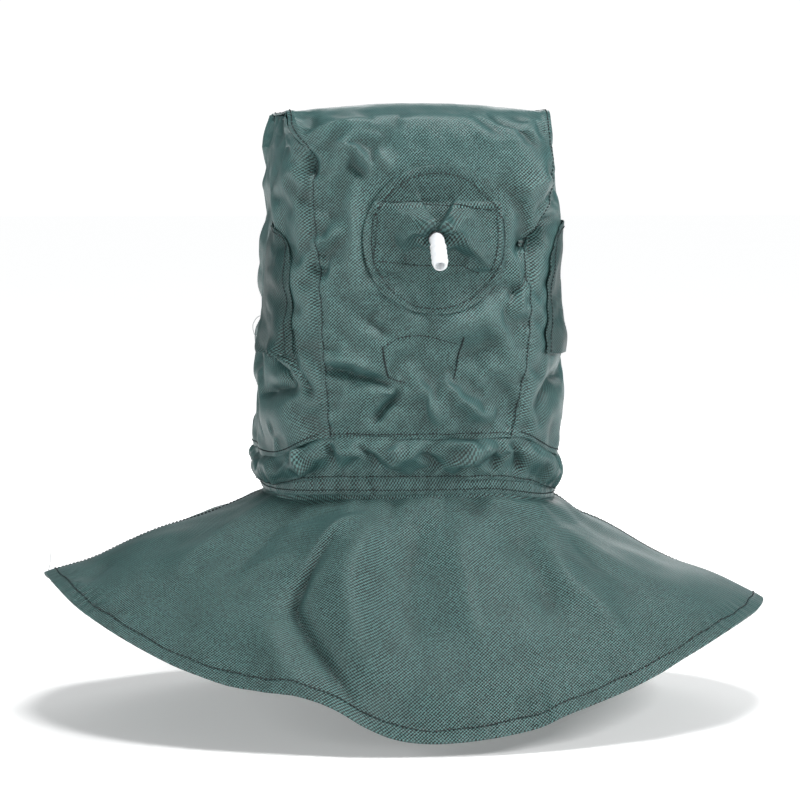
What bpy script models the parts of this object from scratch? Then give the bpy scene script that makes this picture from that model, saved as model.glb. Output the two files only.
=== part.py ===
"""Caped blasting hood with an air inlet: sewn canvas, a shoulder cape, a flip-up window and a head harness.

Metres, +Z up. The origin is the top of the wearer's head, under the harness straps. The wearer faces +Y.
Every cloth piece is one thin shell whose inner face follows a formula and whose thickness grows outwards.
"""

import math

import bmesh
import bpy
from mathutils import Matrix, Vector

# ---- driving dimensions -------------------------------------------------------------------------
CLOTH = 0.0016            # wall of a cloth shell
SEAM = 0.0005             # half of the gap between two sewn shells

CROWN_Z = 0.038           # inner face of the crown
SHELL_Z = -0.2455         # seam between the hood and its neck band, at the back
SIDE_DROOP = 0.022        # how far that seam hangs lower at the sides
SIDE_A = 0.1318           # half width of the hood at the band seam, inner face
SIDE_LEAN = 0.0136        # how much narrower it is at the crown
DEPTH_B = 0.1265          # half depth, inner face
BACK_LEAN = 0.0080        # how far the back leans in at the crown
FOLD_R = 0.036            # radius of the fold from the crown down the back and the front
STRIP_LOW, STRIP_HIGH = 0.082, 0.113   # half width of the centre strip, at the band seam and at the crown
CROWN_SAG = 0.006         # drop of the crown at its side seams
BACK_N, BACK_N_RISE, FRONT_N = 2.6, 2.6, 6.0   # section exponents: 2 is an ellipse, higher is boxier

NECK_A, NECK_B, NECK_N = 0.1295, 0.1165, 2.6
BAND_LOW = -0.2815        # lower edge of the neck band
CASING_TOP, CASING_LOW = -0.2825, -0.2970
CAPE_TOP = -0.3000
CAPE_A, CAPE_B = 0.3215, 0.2340        # half width and half depth of the hem
HEM_LOW, HEM_RISE = -0.4900, 0.1080    # lowest hem point, and how much higher its side points lie
CAPE_ARCH = 0.008                      # how far the cape arches between neck and hem, front and back

WINDOW_Z = -0.115
CLAMP_BACK, CLAMP_FRONT = 0.1205, 0.1250   # the clamp ring inside the cloth, along Y
FRONT_PLANE = 0.1286                   # first flat plane outside the front panel
FRAME_BACK, FRAME_FRONT = FRONT_PLANE + 0.0016, FRONT_PLANE + 0.0076
OPEN_W, OPEN_H = 0.112, 0.086          # clear opening of the window
LENS_W, LENS_H = 0.1234, 0.0974
FRAME_W, FRAME_H = 0.156, 0.130        # fixed frame
DOOR_W, DOOR_H = 0.136, 0.110
HINGE_Y, HINGE_RISE = 0.1445, 0.061    # hinge axis, and its height over the window's centre
SCREW_X, SCREW_Z = 0.073, 0.060        # screw places, from the window's centre

INLET_X, INLET_Z = 0.0095, -0.0765     # axis of the air inlet, which runs along Y
PATCH_X, PATCH_Z, PATCH_R = 0.0110, -0.0780, 0.0625
PLATE_X, PLATE_Z, PLATE_W, PLATE_H = 0.0125, -0.0745, 0.106, 0.053
EAR_Y, EAR_Z, EAR_A, EAR_DROP = -0.055, -0.107, 0.045, 0.069   # middle of the arch, its radius, depth below
NAPE_Z, NAPE_W, NAPE_H = -0.178, 0.067, 0.031

HEAD_A, HEAD_B = 0.082, 0.102          # headband, inner face
HEADBAND_H = 0.030
BROW_Z, HEADBAND_TILT = -0.060, 0.27   # its middle at the brow, and its drop towards the back
WEB_HALF = 0.010                       # half width of the crown straps and side tabs
WEB = 0.0015                           # webbing thickness

# where the panels' columns stand, as shares of a panel's width
BACK_COLUMNS = [i / 5 for i in range(-5, 6)]
FRONT_COLUMNS = [i / 4 for i in range(-4, 5)]
SIDE_COLUMNS = [i / 14 for i in range(15)]

MATERIALS = {
    "canvas": ((0.085, 0.150, 0.148, 1), 0.70, 0.0, 1.0),
    "webbing": ((0.030, 0.034, 0.036, 1), 0.85, 0.0, 1.0),
    "elastic": ((0.75, 0.75, 0.72, 1), 0.80, 0.0, 1.0),
    "foam": ((0.060, 0.062, 0.066, 1), 0.95, 0.0, 1.0),
    "frame_plastic": ((0.022, 0.023, 0.025, 1), 0.50, 0.0, 1.0),
    "rubber": ((0.018, 0.018, 0.018, 1), 0.80, 0.0, 1.0),
    "lens": ((0.85, 0.92, 0.92, 1), 0.05, 0.0, 0.35),
    "steel": ((0.60, 0.60, 0.60, 1), 0.30, 1.0, 1.0),
    "white_plastic": ((0.88, 0.89, 0.91, 1), 0.35, 0.0, 1.0),
}


# ---- small helpers ------------------------------------------------------------------------------
def clear_scene():
    for item in list(bpy.data.objects):
        bpy.data.objects.remove(item)


def material(name):
    found = bpy.data.materials.get(name)
    if found:
        return found
    colour, roughness, metallic, alpha = MATERIALS[name]
    made = bpy.data.materials.new(name)
    made.use_nodes = True
    shader = made.node_tree.nodes["Principled BSDF"]
    shader.inputs["Base Color"].default_value = colour
    shader.inputs["Roughness"].default_value = roughness
    shader.inputs["Metallic"].default_value = metallic
    shader.inputs["Alpha"].default_value = alpha
    return made


def add_object(name, bm, slot):
    mesh = bpy.data.meshes.new(name)
    bm.to_mesh(mesh)
    bm.free()
    mesh.shade_smooth()
    mesh.set_sharp_from_angle(angle=math.radians(35))
    made = bpy.data.objects.new(name, mesh)
    bpy.context.scene.collection.objects.link(made)
    made.data.materials.append(material(slot))
    return made


def set_origin(item, point):
    """Moves an object's origin, and not its shape, to a point, such as one on its joint's axis."""
    item.data.transform(Matrix.Translation(-Vector(point)))
    item.location = point
    return item


def steps(low, high, count):
    """count equal steps from low to high, as count + 1 values."""
    return [low + (high - low) * i / count for i in range(count + 1)]


def ease(t):
    t = min(max(t, 0.0), 1.0)
    return t * t * (3 - 2 * t)


def thicken(item, thickness):
    solidify = item.modifiers.new("thickness", "SOLIDIFY")
    solidify.thickness = thickness
    solidify.offset = 1.0
    solidify.use_even_offset = True
    return item


def sheet(name, point, us, vs, slot, thickness=CLOTH, closed=False, skip=None, cap=False,
          inside=(0.0, 0.0, -0.15)):
    """A shell over point(u, v), thickened away from the point inside. closed joins the last u to the first,
    skip(u, v) leaves a face out by the values at its middle, and cap fills the first row, as in a disc."""
    bm = bmesh.new()
    grid = [[bm.verts.new(point(u, v)) for u in us] for v in vs]
    count = len(us) if closed else len(us) - 1
    for j in range(len(vs) - 1):
        for i in range(count):
            k = (i + 1) % len(us)
            if skip and skip((us[i] + us[k]) / 2, (vs[j] + vs[j + 1]) / 2):
                continue
            bm.faces.new((grid[j][i], grid[j][k], grid[j + 1][k], grid[j + 1][i]))
    if cap:
        bm.faces.new(list(reversed(grid[0])))
    bm.normal_update()
    centre = Vector(inside)
    outward = sum(f.normal.dot(f.calc_center_median() - centre) for f in bm.faces)
    if outward < 0:
        bmesh.ops.reverse_faces(bm, faces=bm.faces)
    return thicken(add_object(name, bm, slot), thickness)


def lathe(bm, outline, matrix, segments=16):
    """A closed turned body from (radius, height) points, turned about local Z and placed by matrix.
    Its first and last points lie on the axis."""
    rings = []
    for radius, height in outline:
        if radius == 0:
            rings.append([bm.verts.new(matrix @ Vector((0, 0, height)))])
            continue
        angles = [2 * math.pi * i / segments for i in range(segments)]
        points = [Vector((radius * math.cos(a), radius * math.sin(a), height)) for a in angles]
        rings.append([bm.verts.new(matrix @ p) for p in points])
    for low, high in zip(rings, rings[1:]):
        for i in range(segments):
            k = (i + 1) % segments
            corners = [low[i % len(low)], low[k % len(low)], high[k % len(high)], high[i % len(high)]]
            bm.faces.new(list(dict.fromkeys(corners)))


def pipe_wall(bm, rings_outer, rings_inner):
    """A tube wall between two lists of rings, closed at both ends."""
    loops = [[bm.verts.new(p) for p in ring] for ring in rings_outer + rings_inner[::-1]]
    for low, high in zip(loops, loops[1:] + loops[:1]):
        for i in range(len(low)):
            k = (i + 1) % len(low)
            bm.faces.new((low[i], low[k], high[k], high[i]))
    bmesh.ops.recalc_face_normals(bm, faces=bm.faces)


def rounded_rectangle(width, height, radius, segments=3):
    """Corner arcs of a rectangle about the origin, as (x, z) points."""
    points = []
    for quarter, (sx, sz) in enumerate(((1, 1), (-1, 1), (-1, -1), (1, -1))):
        cx, cz = sx * (width / 2 - radius), sz * (height / 2 - radius)
        for i in range(segments + 1):
            a = math.radians(90 * quarter + 90 * i / segments)
            points.append((cx + radius * math.cos(a), cz + radius * math.sin(a)))
    return points


def frame_body(bm, loops, closed=True):
    """A ring, or a capped plate, through rounded rectangles (width, height, radius, y) about the window."""
    made = [
        [bm.verts.new((x, y, WINDOW_Z + z)) for x, z in rounded_rectangle(w, h, r)] for w, h, r, y in loops
    ]
    pairs = zip(made, made[1:] + made[:1]) if closed else zip(made, made[1:])
    for low, high in pairs:
        for i in range(len(low)):
            k = (i + 1) % len(low)
            bm.faces.new((low[i], low[k], high[k], high[i]))
    if not closed:
        bm.faces.new(made[0])
        bm.faces.new(made[-1])
    bmesh.ops.recalc_face_normals(bm, faces=bm.faces)


def frame_ring(name, outer, inner, low, high, slot, bevel=0.0):
    """A flat ring between two rounded rectangles (width, height, radius), from y low to y high."""
    bm = bmesh.new()
    (w, h, r), (iw, ih, ir) = outer, inner
    loops = [(w, h, r, low), (w, h, r, high - bevel)]
    if bevel:
        loops += [(w - 2 * bevel, h - 2 * bevel, r, high)]
    frame_body(bm, loops + [(iw, ih, ir, high), (iw, ih, ir, low)])
    return add_object(name, bm, slot)


def hidden(item):
    item.hide_render = True
    item.display_type = "WIRE"
    return item


def boolean(target, other, operation):
    cut = target.modifiers.new(operation.lower(), "BOOLEAN")
    cut.operation = operation
    cut.solver = "EXACT"
    cut.object = other
    return target


def along(axis, at=(0, 0, 0)):
    """A matrix that turns local Z onto axis and moves the origin to at."""
    return Matrix.Translation(at) @ Vector(axis).to_track_quat("Z", "Y").to_matrix().to_4x4()


# ---- the hood's shape ---------------------------------------------------------------------------
def rise(z):
    """0 at the band seam, 1 at the crown."""
    return min(max((z - SHELL_Z) / (CROWN_Z - SHELL_Z), 0.0), 1.0)


def side_at(z):
    return SIDE_A - SIDE_LEAN * rise(z) ** 1.5


def depth_at(z, front):
    return DEPTH_B if front else DEPTH_B - BACK_LEAN * rise(z) ** 2


def exponent_at(z, front):
    return FRONT_N if front else BACK_N + BACK_N_RISE * rise(z)


def strip_at(z):
    return STRIP_LOW + (STRIP_HIGH - STRIP_LOW) * rise(z) ** 1.6


def wall_drop(x, z, front):
    """How far the wall has curved back at x from its deepest line."""
    n = exponent_at(z, front)
    return depth_at(z, front) * (1 - (1 - (abs(x) / side_at(z)) ** n) ** (1 / n))


def side_bulge(y, z):
    n = exponent_at(z, y > 0)
    return side_at(z) * (1 - min(abs(y) / depth_at(z, y > 0), 1.0) ** n) ** (1 / n)


def droop(x):
    """How far the band seam hangs below its height at the back."""
    return SIDE_DROOP * ease((abs(x) - STRIP_LOW) / (SIDE_A - STRIP_LOW))


def profile(s):
    """The centre line of the strip: 0 to 1 up the back, 1 to 2 the fold, 2 to 3 the crown, 3 to 4 the
    front fold, 4 to 5 down the front. Returns the point and the outward direction, both as (y, z)."""
    front = s > 2.5
    q = 5 - s if front else s
    sign = 1 if front else -1
    low, high = SHELL_Z + SEAM, CROWN_Z - FOLD_R
    if q <= 1:
        z = low + (high - low) * q
        return (sign * depth_at(z, front), z), (sign, 0.0)
    edge = depth_at(high, front) - FOLD_R
    if q <= 2:
        a = math.radians(90 * (q - 1))
        c, s = math.cos(a), math.sin(a)
        return (sign * (edge + FOLD_R * c), high + FOLD_R * s), (sign * c, s)
    return (sign * edge * (1 - 2 * (q - 2)), CROWN_Z), (0.0, 1.0)


def strip_point(x, s, off=0.0):
    """A point of the centre strip, off outside its inner face."""
    (y, z), (ny, nz) = profile(s)
    wall = ny * ny
    drop = wall * wall_drop(x, z, s > 2.5) + (1 - wall) * CROWN_SAG * (x / strip_at(z)) ** 2
    return Vector((x, y + ny * (off - drop), z + nz * (off - drop)))


def back_station(z):
    """The value of s on the back wall at height z."""
    return (z - SHELL_Z - SEAM) / (CROWN_Z - FOLD_R - SHELL_Z - SEAM)


def back_point(x, z, off=0.0):
    return strip_point(x, back_station(z), off)


def side_point(sign, t, level, off=0.0):
    """A point of a side panel: t runs from the back seam to the front seam, level from the band seam (0)
    through the top of the wall (1) to the crown seam (2)."""
    width = strip_at(profile(level)[0][1]) + SEAM
    back, front = strip_point(width, level), strip_point(width, 5 - level)
    y = back.y + (front.y - back.y) * t
    z = back.z + (front.z - back.z) * t
    edge = side_bulge(back.y if y < 0 else front.y, z)
    fade = 1 - max(level - 1, 0.0) ** 2
    x = width + max(side_bulge(y, z) - edge, 0.0) * fade
    hang = droop(x) * max(1 - level, 0.0) ** 2
    return Vector((sign * (x + off), y, z - hang))


def side_at_point(sign, y, z, off):
    """The side panel's surface at y and z, for the pieces sewn on it."""
    return Vector((sign * (side_bulge(y, z) + SEAM + off), y, z))


def ring_point(angle, a, b, z, n_back, n_front=None):
    """A point of a horizontal ring, a superellipse whose front half may have its own exponent."""
    c, s = math.cos(angle), math.sin(angle)
    n = n_back if s < 0 or n_front is None else n_front
    radius = (abs(c / a) ** n + abs(s / b) ** n) ** (-1 / n)
    return Vector((radius * c, radius * s, z))


def circle(count):
    return [2 * math.pi * i / count for i in range(count)]


# ---- cloth --------------------------------------------------------------------------------------
def back_and_crown():
    """The centre strip up the back and over the crown, with the inlet's hole."""
    rows = steps(0, 1, 9) + steps(1, 2, 4)[1:] + steps(2, 3, 5)[1:] + steps(3, 3.99, 4)[1:]

    def point(u, s):
        return strip_point(u * (strip_at(profile(s)[0][1]) - SEAM), s)

    panel = sheet("back_and_crown_panel", point, BACK_COLUMNS, rows, "canvas")
    boolean(panel, inlet_cutter("panel_hole_cutter", 0.0070), "DIFFERENCE")


def front_panel():
    """The front of the centre strip, with the window's opening and its screw holes."""
    half_w, half_h = OPEN_W / 2 + 0.002, OPEN_H / 2 + 0.002
    low, high = SHELL_Z + SEAM, CROWN_Z - FOLD_R
    heights = (steps(low, WINDOW_Z - half_h, 3) + steps(WINDOW_Z - half_h, WINDOW_Z + half_h, 3)[1:]
               + steps(WINDOW_Z + half_h, high - SEAM, 2)[1:])
    rows = [5 - (z - low) / (high - low) for z in heights]

    def point(u, s):
        """u runs from -1 to 1, and -0.5 to 0.5 is the width of the opening at every height."""
        edge = strip_at(profile(s)[0][1]) - SEAM
        beyond = max(abs(u) - 0.5, 0.0) * 2
        x = min(abs(u), 0.5) * 2 * half_w + beyond * (edge - half_w)
        return strip_point(math.copysign(x, u), s)

    def in_opening(u, s):
        return abs(u) < 0.5 and abs(profile(s)[0][1] - WINDOW_Z) < half_h

    panel = sheet("front_panel", point, FRONT_COLUMNS, rows, "canvas", skip=in_opening)
    boolean(panel, bpy.data.objects["screw_hole_cutter"], "DIFFERENCE")


def side_panels():
    levels = steps(0, 1, 8) + steps(1, 2, 3)[1:]
    for name, sign in (("left_side_panel", -1), ("right_side_panel", 1)):
        sheet(name, lambda t, level, sign=sign: side_point(sign, t, level), SIDE_COLUMNS, levels, "canvas")


def ear_patches():
    """Arched patches over the ears, one on each side panel: round above, straight sided below."""
    for name, sign in (("left_ear_patch", -1), ("right_ear_patch", 1)):
        def point(angle, radius, sign=sign):
            edge = ring_point(angle, EAR_A, EAR_A if math.sin(angle) > 0 else EAR_DROP, 0.0, 7.0, 2.0)
            y, z = EAR_Y + edge.x * radius, EAR_Z + edge.y * radius
            return side_at_point(sign, y, z, CLOTH + 0.0010)
        sheet(name, point, circle(24), steps(0.16, 1, 4), "canvas", thickness=0.0012, closed=True, cap=True)


def back_patch():
    """The round patch over the inlet's stiffener, raised where the fitting comes out."""
    def point(angle, radius):
        x = INLET_X + (PATCH_X - INLET_X) * ease(radius / PATCH_R) + radius * math.cos(angle)
        z = INLET_Z + (PATCH_Z - INLET_Z) * ease(radius / PATCH_R) + radius * math.sin(angle)
        raised = 0.0030 + 0.0075 * math.exp(-((radius / 0.020) ** 2))
        return back_point(x, z, CLOTH + raised)
    radii = [0.0069, 0.012, 0.020, 0.030, 0.040, 0.050, PATCH_R]
    sheet("back_patch", point, circle(24), radii, "canvas", thickness=0.0012, closed=True)


def inlet_stiffener():
    """A flexible plate sewn between the back panel and its patch, which carries the inlet."""
    us = steps(PLATE_X - PLATE_W / 2, PLATE_X + PLATE_W / 2, 8)
    vs = steps(PLATE_Z - PLATE_H / 2, PLATE_Z + PLATE_H / 2, 4)
    plate = sheet("inlet_stiffener", lambda x, z: back_point(x, z, CLOTH + 0.0006), us, vs, "frame_plastic",
                  thickness=0.0015)
    boolean(plate, inlet_cutter("stiffener_hole_cutter", 0.0066), "DIFFERENCE")


def nape_anchor():
    us = steps(-NAPE_W / 2, NAPE_W / 2, 5)
    vs = steps(NAPE_Z - NAPE_H / 2, NAPE_Z + NAPE_H / 2, 3)
    sheet("nape_anchor", lambda x, z: back_point(x, z, -0.0020), us, vs, "canvas", thickness=0.0012)


def band_seam():
    """The hood's lower edge as (x, y) points all round, at the columns of the four panels above it."""
    back = [strip_point(u * STRIP_LOW, 0) for u in BACK_COLUMNS]
    front = [strip_point(u * STRIP_LOW, 5) for u in reversed(FRONT_COLUMNS)]
    right = [side_point(1, t, 0) for t in SIDE_COLUMNS[1:-1]]
    left = [side_point(-1, t, 0) for t in reversed(SIDE_COLUMNS[1:-1])]
    return [(p.x, p.y) for p in back + right + front + left]


def neck_band():
    """The band between the hood and the neck casing. It blouses out before it runs in to the neck."""
    seam = band_seam()

    def point(k, t):
        x, y = seam[k]
        neck = ring_point(math.atan2(y, x), NECK_A + 0.001, NECK_B + 0.001, BAND_LOW, NECK_N)
        high = Vector((x, y, SHELL_Z - SEAM - droop(x)))
        blouse = 0.10 * (high.z - neck.z) * math.sin(math.pi * min(t * 1.25, 1.0)) ** 2
        pull = ease((t - 0.35) / 0.65)
        flat = high.lerp(neck, pull)
        out = Vector((x, y, 0)).normalized() * blouse
        return Vector((flat.x + out.x, flat.y + out.y, high.z + (neck.z - high.z) * t))
    sheet("neck_band", point, list(range(len(seam))), steps(0, 1, 5), "canvas", closed=True,
          inside=(0, 0, -0.262))


def neck_casing():
    """A folded strip, open along its top, with the elastic inside."""
    low, inner = CASING_LOW + 0.0010, -0.0062
    fold = [(0.0, CASING_TOP), (0.0, low), (inner, low), (inner, CASING_TOP)]

    def point(angle, k):
        out, z = fold[int(k)]
        return ring_point(angle, NECK_A + out, NECK_B + out, z, NECK_N)
    casing = sheet("neck_casing", point, circle(48), [0, 1, 2, 3], "canvas", thickness=0.0010, closed=True,
                   inside=(0, 0, -0.20))
    casing.modifiers["thickness"].offset = -1.0

    def elastic(angle, t):
        return ring_point(angle, NECK_A - 0.0040, NECK_B - 0.0040, CASING_TOP - 0.0005 - 0.0085 * t, NECK_N)
    sheet("neck_elastic", elastic, circle(48), [0, 1], "elastic", thickness=0.0014, closed=True,
          inside=(0, 0, -0.30))


def hem_height(x):
    """The hem is lowest at the front and the back, and rises towards the shoulders."""
    return HEM_LOW + HEM_RISE * (abs(x) / CAPE_A) ** 1.8


def cape():
    def point(angle, t):
        neck = ring_point(angle, NECK_A, NECK_B, CAPE_TOP, NECK_N)
        x, y = CAPE_A * math.cos(angle), CAPE_B * math.sin(angle)
        hem = Vector((x, y, hem_height(x)))
        arch = CAPE_ARCH * 4 * t * (1 - t) * math.sin(angle) ** 2
        across = Vector((math.cos(angle), math.sin(angle), 1.0)).normalized()
        return neck.lerp(hem, t) + across * arch
    sheet("shoulder_cape", point, circle(64), steps(0, 1, 7), "canvas", closed=True, inside=(0, 0, -0.70))


# ---- window -------------------------------------------------------------------------------------
OPENING = (OPEN_W, OPEN_H, 0.010)
CLOTH_OPENING = (OPEN_W + 0.004, OPEN_H + 0.004, 0.010)


def screw_places():
    return [(sx * SCREW_X, WINDOW_Z + sz * SCREW_Z) for sx in (-1, 1) for sz in (-1, 0, 1)]


def screw_cutter():
    bm = bmesh.new()
    for x, z in screw_places():
        lathe(bm, [(0, 0), (0.0020, 0), (0.0020, 0.030), (0, 0.030)], along((0, 1, 0), (x, 0.112, z)), 10)
    bmesh.ops.recalc_face_normals(bm, faces=bm.faces)
    hidden(add_object("screw_hole_cutter", bm, "steel"))


def knuckle(name, centres, length, radius, web, segments=16):
    """Hinge knuckles along X, each with a web back to its frame. web is (low y, high y, low z, high z)."""
    bm = bmesh.new()
    lathe(bm, [(0, -length / 2), (radius, -length / 2), (radius, length / 2), (0, length / 2)],
          along((1, 0, 0), (centres, HINGE_Y, WINDOW_Z + HINGE_RISE)), segments)
    bmesh.ops.recalc_face_normals(bm, faces=bm.faces)
    round_part = hidden(add_object(name, bm, "frame_plastic"))
    bm = bmesh.new()
    low_y, high_y, low_z, high_z = web
    bmesh.ops.create_cube(bm, size=1.0)
    size = Matrix.Diagonal((length, high_y - low_y, high_z - low_z, 1))
    place = Matrix.Translation((centres, (low_y + high_y) / 2, WINDOW_Z + (low_z + high_z) / 2))
    bm.transform(place @ size)
    block = hidden(add_object(name + "_web", bm, "frame_plastic"))
    return [round_part, block]


def pin_hole_cutter():
    bm = bmesh.new()
    lathe(bm, [(0, -0.05), (0.0019, -0.05), (0.0019, 0.05), (0, 0.05)],
          along((1, 0, 0), (0, HINGE_Y, WINDOW_Z + HINGE_RISE)), 16)
    bmesh.ops.recalc_face_normals(bm, faces=bm.faces)
    return hidden(add_object("pin_hole_cutter", bm, "steel"))


def window():
    surround = frame_ring("window_surround", (FRAME_W + 0.016, FRAME_H + 0.016, 0.014), CLOTH_OPENING,
                          FRONT_PLANE, FRONT_PLANE + 0.0012, "canvas")
    clamp = frame_ring("window_clamp_ring", (FRAME_W - 0.004, FRAME_H - 0.004, 0.012), OPENING,
                       CLAMP_BACK, CLAMP_FRONT, "frame_plastic")
    base = frame_ring("window_frame", (FRAME_W, FRAME_H, 0.012), OPENING, FRAME_BACK, FRAME_FRONT,
                      "frame_plastic", bevel=0.0012)
    for item in (surround, clamp, base):
        boolean(item, bpy.data.objects["screw_hole_cutter"], "DIFFERENCE")
    hole = pin_hole_cutter()
    for tag, sign in (("left", -1), ("right", 1)):
        for part in knuckle(f"{tag}_fixed_knuckle", sign * 0.0305, 0.010, 0.0040,
                            (FRAME_FRONT - 0.0016, HINGE_Y, 0.0572, 0.0648)):
            boolean(base, part, "UNION")
    boolean(base, hole, "DIFFERENCE")
    frame_ring("window_gasket", (0.132, 0.106, 0.008), (0.114, 0.088, 0.008), FRAME_FRONT + 0.0004,
               FRAME_FRONT + 0.0018, "rubber")
    window_door(hole)

    bm = bmesh.new()
    half, head = 0.0360, 0.0012
    end = [(0, half + head), (0.0026, half + head), (0.0026, half), (0.0014, half)]
    lathe(bm, [(r, -h) for r, h in end] + end[::-1],
          along((1, 0, 0), (0, HINGE_Y, WINDOW_Z + HINGE_RISE)), 12)
    bmesh.ops.recalc_face_normals(bm, faces=bm.faces)
    add_object("hinge_pin", bm, "steel")


def window_door(hole):
    """The flip-up frame, with the lens and its retainer in a rebate behind it, all hung from the hinge."""
    hinge = (0, HINGE_Y, WINDOW_Z + HINGE_RISE)
    back, face = FRAME_FRONT + 0.0022, FRAME_FRONT + 0.0102
    step = back + 0.0046
    rebate = (LENS_W + 0.0012, LENS_H + 0.0012, 0.006)
    bm = bmesh.new()
    frame_body(bm, [
        (DOOR_W, DOOR_H, 0.010, back), (DOOR_W, DOOR_H, 0.010, face - 0.0015),
        (DOOR_W - 0.003, DOOR_H - 0.003, 0.010, face),
        (OPEN_W + 0.004, OPEN_H + 0.004, 0.010, face), (*OPENING, face - 0.0020), (*OPENING, step),
        (*rebate, step), (*rebate, back),
    ])
    door = set_origin(add_object("window_door_frame", bm, "frame_plastic"), hinge)
    web = (back + 0.0024, face - 0.0020, 0.0532, HINGE_RISE)
    for part in knuckle("door_knuckle", 0.0, 0.050, 0.0040, web):
        boolean(door, part, "UNION")
    boolean(door, hole, "DIFFERENCE")
    bm = bmesh.new()
    tab = (0.030, 0.012, 0.004)
    frame_body(bm, [(*tab, back + 0.0041), (*tab, face - 0.0004)], closed=False)
    bmesh.ops.translate(bm, verts=bm.verts, vec=(0, 0, -DOOR_H / 2 - 0.001))
    boolean(door, hidden(add_object("lift_tab", bm, "frame_plastic")), "UNION")

    outline = (LENS_W, LENS_H, 0.0055)
    retainer = frame_ring("lens_retainer", outline, (0.1140, 0.0880, 0.008), back + 0.0004, back + 0.0014,
                          "frame_plastic")
    set_origin(retainer, hinge)
    bm = bmesh.new()
    frame_body(bm, [(*outline, back + 0.0018), (*outline, step - 0.0004)], closed=False)
    set_origin(add_object("window_lens", bm, "lens"), hinge)


def nut(bm, outer, hole, depth, count, hexagonal=True):
    """A nut, or a washer, round local Y, from 0 to depth."""
    def ring(radius):
        return [(radius * math.cos(a), radius * math.sin(a)) for a in circle(count)]
    wide = hexagon(outer, count) if hexagonal else ring(outer)
    narrow = ring(hole)
    pipe_wall(bm, [[Vector((x, y, z)) for x, z in wide] for y in (0, depth)],
              [[Vector((x, y, z)) for x, z in narrow] for y in (0, depth)])


def window_fasteners():
    """One screw and one nut, copied to each of the frame's holes."""
    head = FRAME_FRONT + 0.0003
    screw, ring = bmesh.new(), bmesh.new()
    shank = [(0, -0.0215), (0.0014, -0.0215), (0.0014, 0)]
    dome = [(0.0034, 0), (0.0030, 0.0012), (0.0016, 0.0020), (0, 0.0020)]
    lathe(screw, shank + dome, along((0, 1, 0)), 12)
    bmesh.ops.recalc_face_normals(screw, faces=screw.faces)
    nut(ring, 0.0034, 0.0019, 0.0027, 12)
    meshes = [add_object("window_screw_1", screw, "steel"), add_object("window_nut_1", ring, "steel")]
    for number, (x, z) in enumerate(screw_places(), start=1):
        for first, y in zip(meshes, (head, CLAMP_BACK - 0.0030)):
            name = first.name[:-1] + str(number)
            item = first if number == 1 else bpy.data.objects.new(name, first.data)
            if number > 1:
                bpy.context.scene.collection.objects.link(item)
            item.location = (x, y, z)


# ---- air inlet ----------------------------------------------------------------------------------
def inlet_cutter(name, radius):
    bm = bmesh.new()
    lathe(bm, [(0, -0.03), (radius, -0.03), (radius, 0.03), (0, 0.03)],
          along((0, -1, 0), (INLET_X, -0.125, INLET_Z)), 20)
    bmesh.ops.recalc_face_normals(bm, faces=bm.faces)
    return hidden(add_object(name, bm, "steel"))


ELBOW_START, ELBOW_TURN, ELBOW_R = -0.1135, -0.1390, 0.0100   # inner end, start of the bend, bend radius
ELBOW_ANGLE, TAIL = math.radians(45), 0.0265
BORE_R, STUB_R = 0.0040, 0.0060


def elbow_frame(s):
    """A point s along the inlet's centre line and its direction, both as (y, z)."""
    straight = ELBOW_START - ELBOW_TURN
    bend = ELBOW_R * ELBOW_ANGLE
    if s <= straight:
        return (ELBOW_START - s, INLET_Z), (-1.0, 0.0)
    angle = min((s - straight) / ELBOW_R, ELBOW_ANGLE)
    y = ELBOW_TURN - ELBOW_R * math.sin(angle)
    z = INLET_Z - ELBOW_R * (1 - math.cos(angle))
    direction = (-math.cos(angle), -math.sin(angle))
    rest = max(s - straight - bend, 0.0)
    return (y + direction[0] * rest, z + direction[1] * rest), direction


def elbow_ring(s, radius, segments=20):
    (y, z), (dy, dz) = elbow_frame(s)
    up = Vector((0.0, -dz, dy)) if dy else Vector((0, 0, 1))
    side = Vector((1, 0, 0))
    centre = Vector((INLET_X, y, z))
    return [centre + side * radius * math.cos(a) + up * radius * math.sin(a) for a in circle(segments)]


def air_inlet():
    """A hose elbow: threaded stub, shoulder, neck, bend and barbed tail, with one bore through it."""
    straight = ELBOW_START - ELBOW_TURN
    bend = ELBOW_R * ELBOW_ANGLE
    shoulder = ELBOW_START + 0.1281
    outer = [(0.0, 0.0055), (0.0006, STUB_R), (shoulder, STUB_R), (shoulder, 0.0095)]
    outer += [(shoulder + 0.0025, 0.0095), (shoulder + 0.0025, 0.0062), (straight, 0.0062)]
    outer += [(straight + bend * k, 0.0062) for k in (0.25, 0.5, 0.75, 1.0)]
    tail = straight + bend
    for k in range(4):
        start = tail + 0.0035 + 0.0055 * k
        outer += [(start, 0.0060), (start + 0.0006, 0.0071), (start + 0.0046, 0.0061)]
    outer += [(tail + TAIL - 0.0008, 0.0058), (tail + TAIL, 0.0052)]
    inner = [(0.0, BORE_R), (straight, BORE_R)]
    inner += [(straight + bend * k, BORE_R) for k in (0.25, 0.5, 0.75, 1.0)]
    inner += [(tail + TAIL, BORE_R)]
    bm = bmesh.new()
    pipe_wall(bm, [elbow_ring(s, r) for s, r in outer], [elbow_ring(s, r) for s, r in inner])
    set_origin(add_object("air_inlet_elbow", bm, "white_plastic"), (INLET_X, -0.130, INLET_Z))

    for name, slot, y, depth, hexagonal in (("inlet_lock_nut", "white_plastic", -0.1202, 0.0059, True),
                                            ("inlet_washer", "rubber", -0.1219, 0.0013, False)):
        bm = bmesh.new()
        nut(bm, 0.0118, 0.0065, depth, 18, hexagonal)
        add_object(name, bm, slot).location = (INLET_X, y, INLET_Z)


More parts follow.
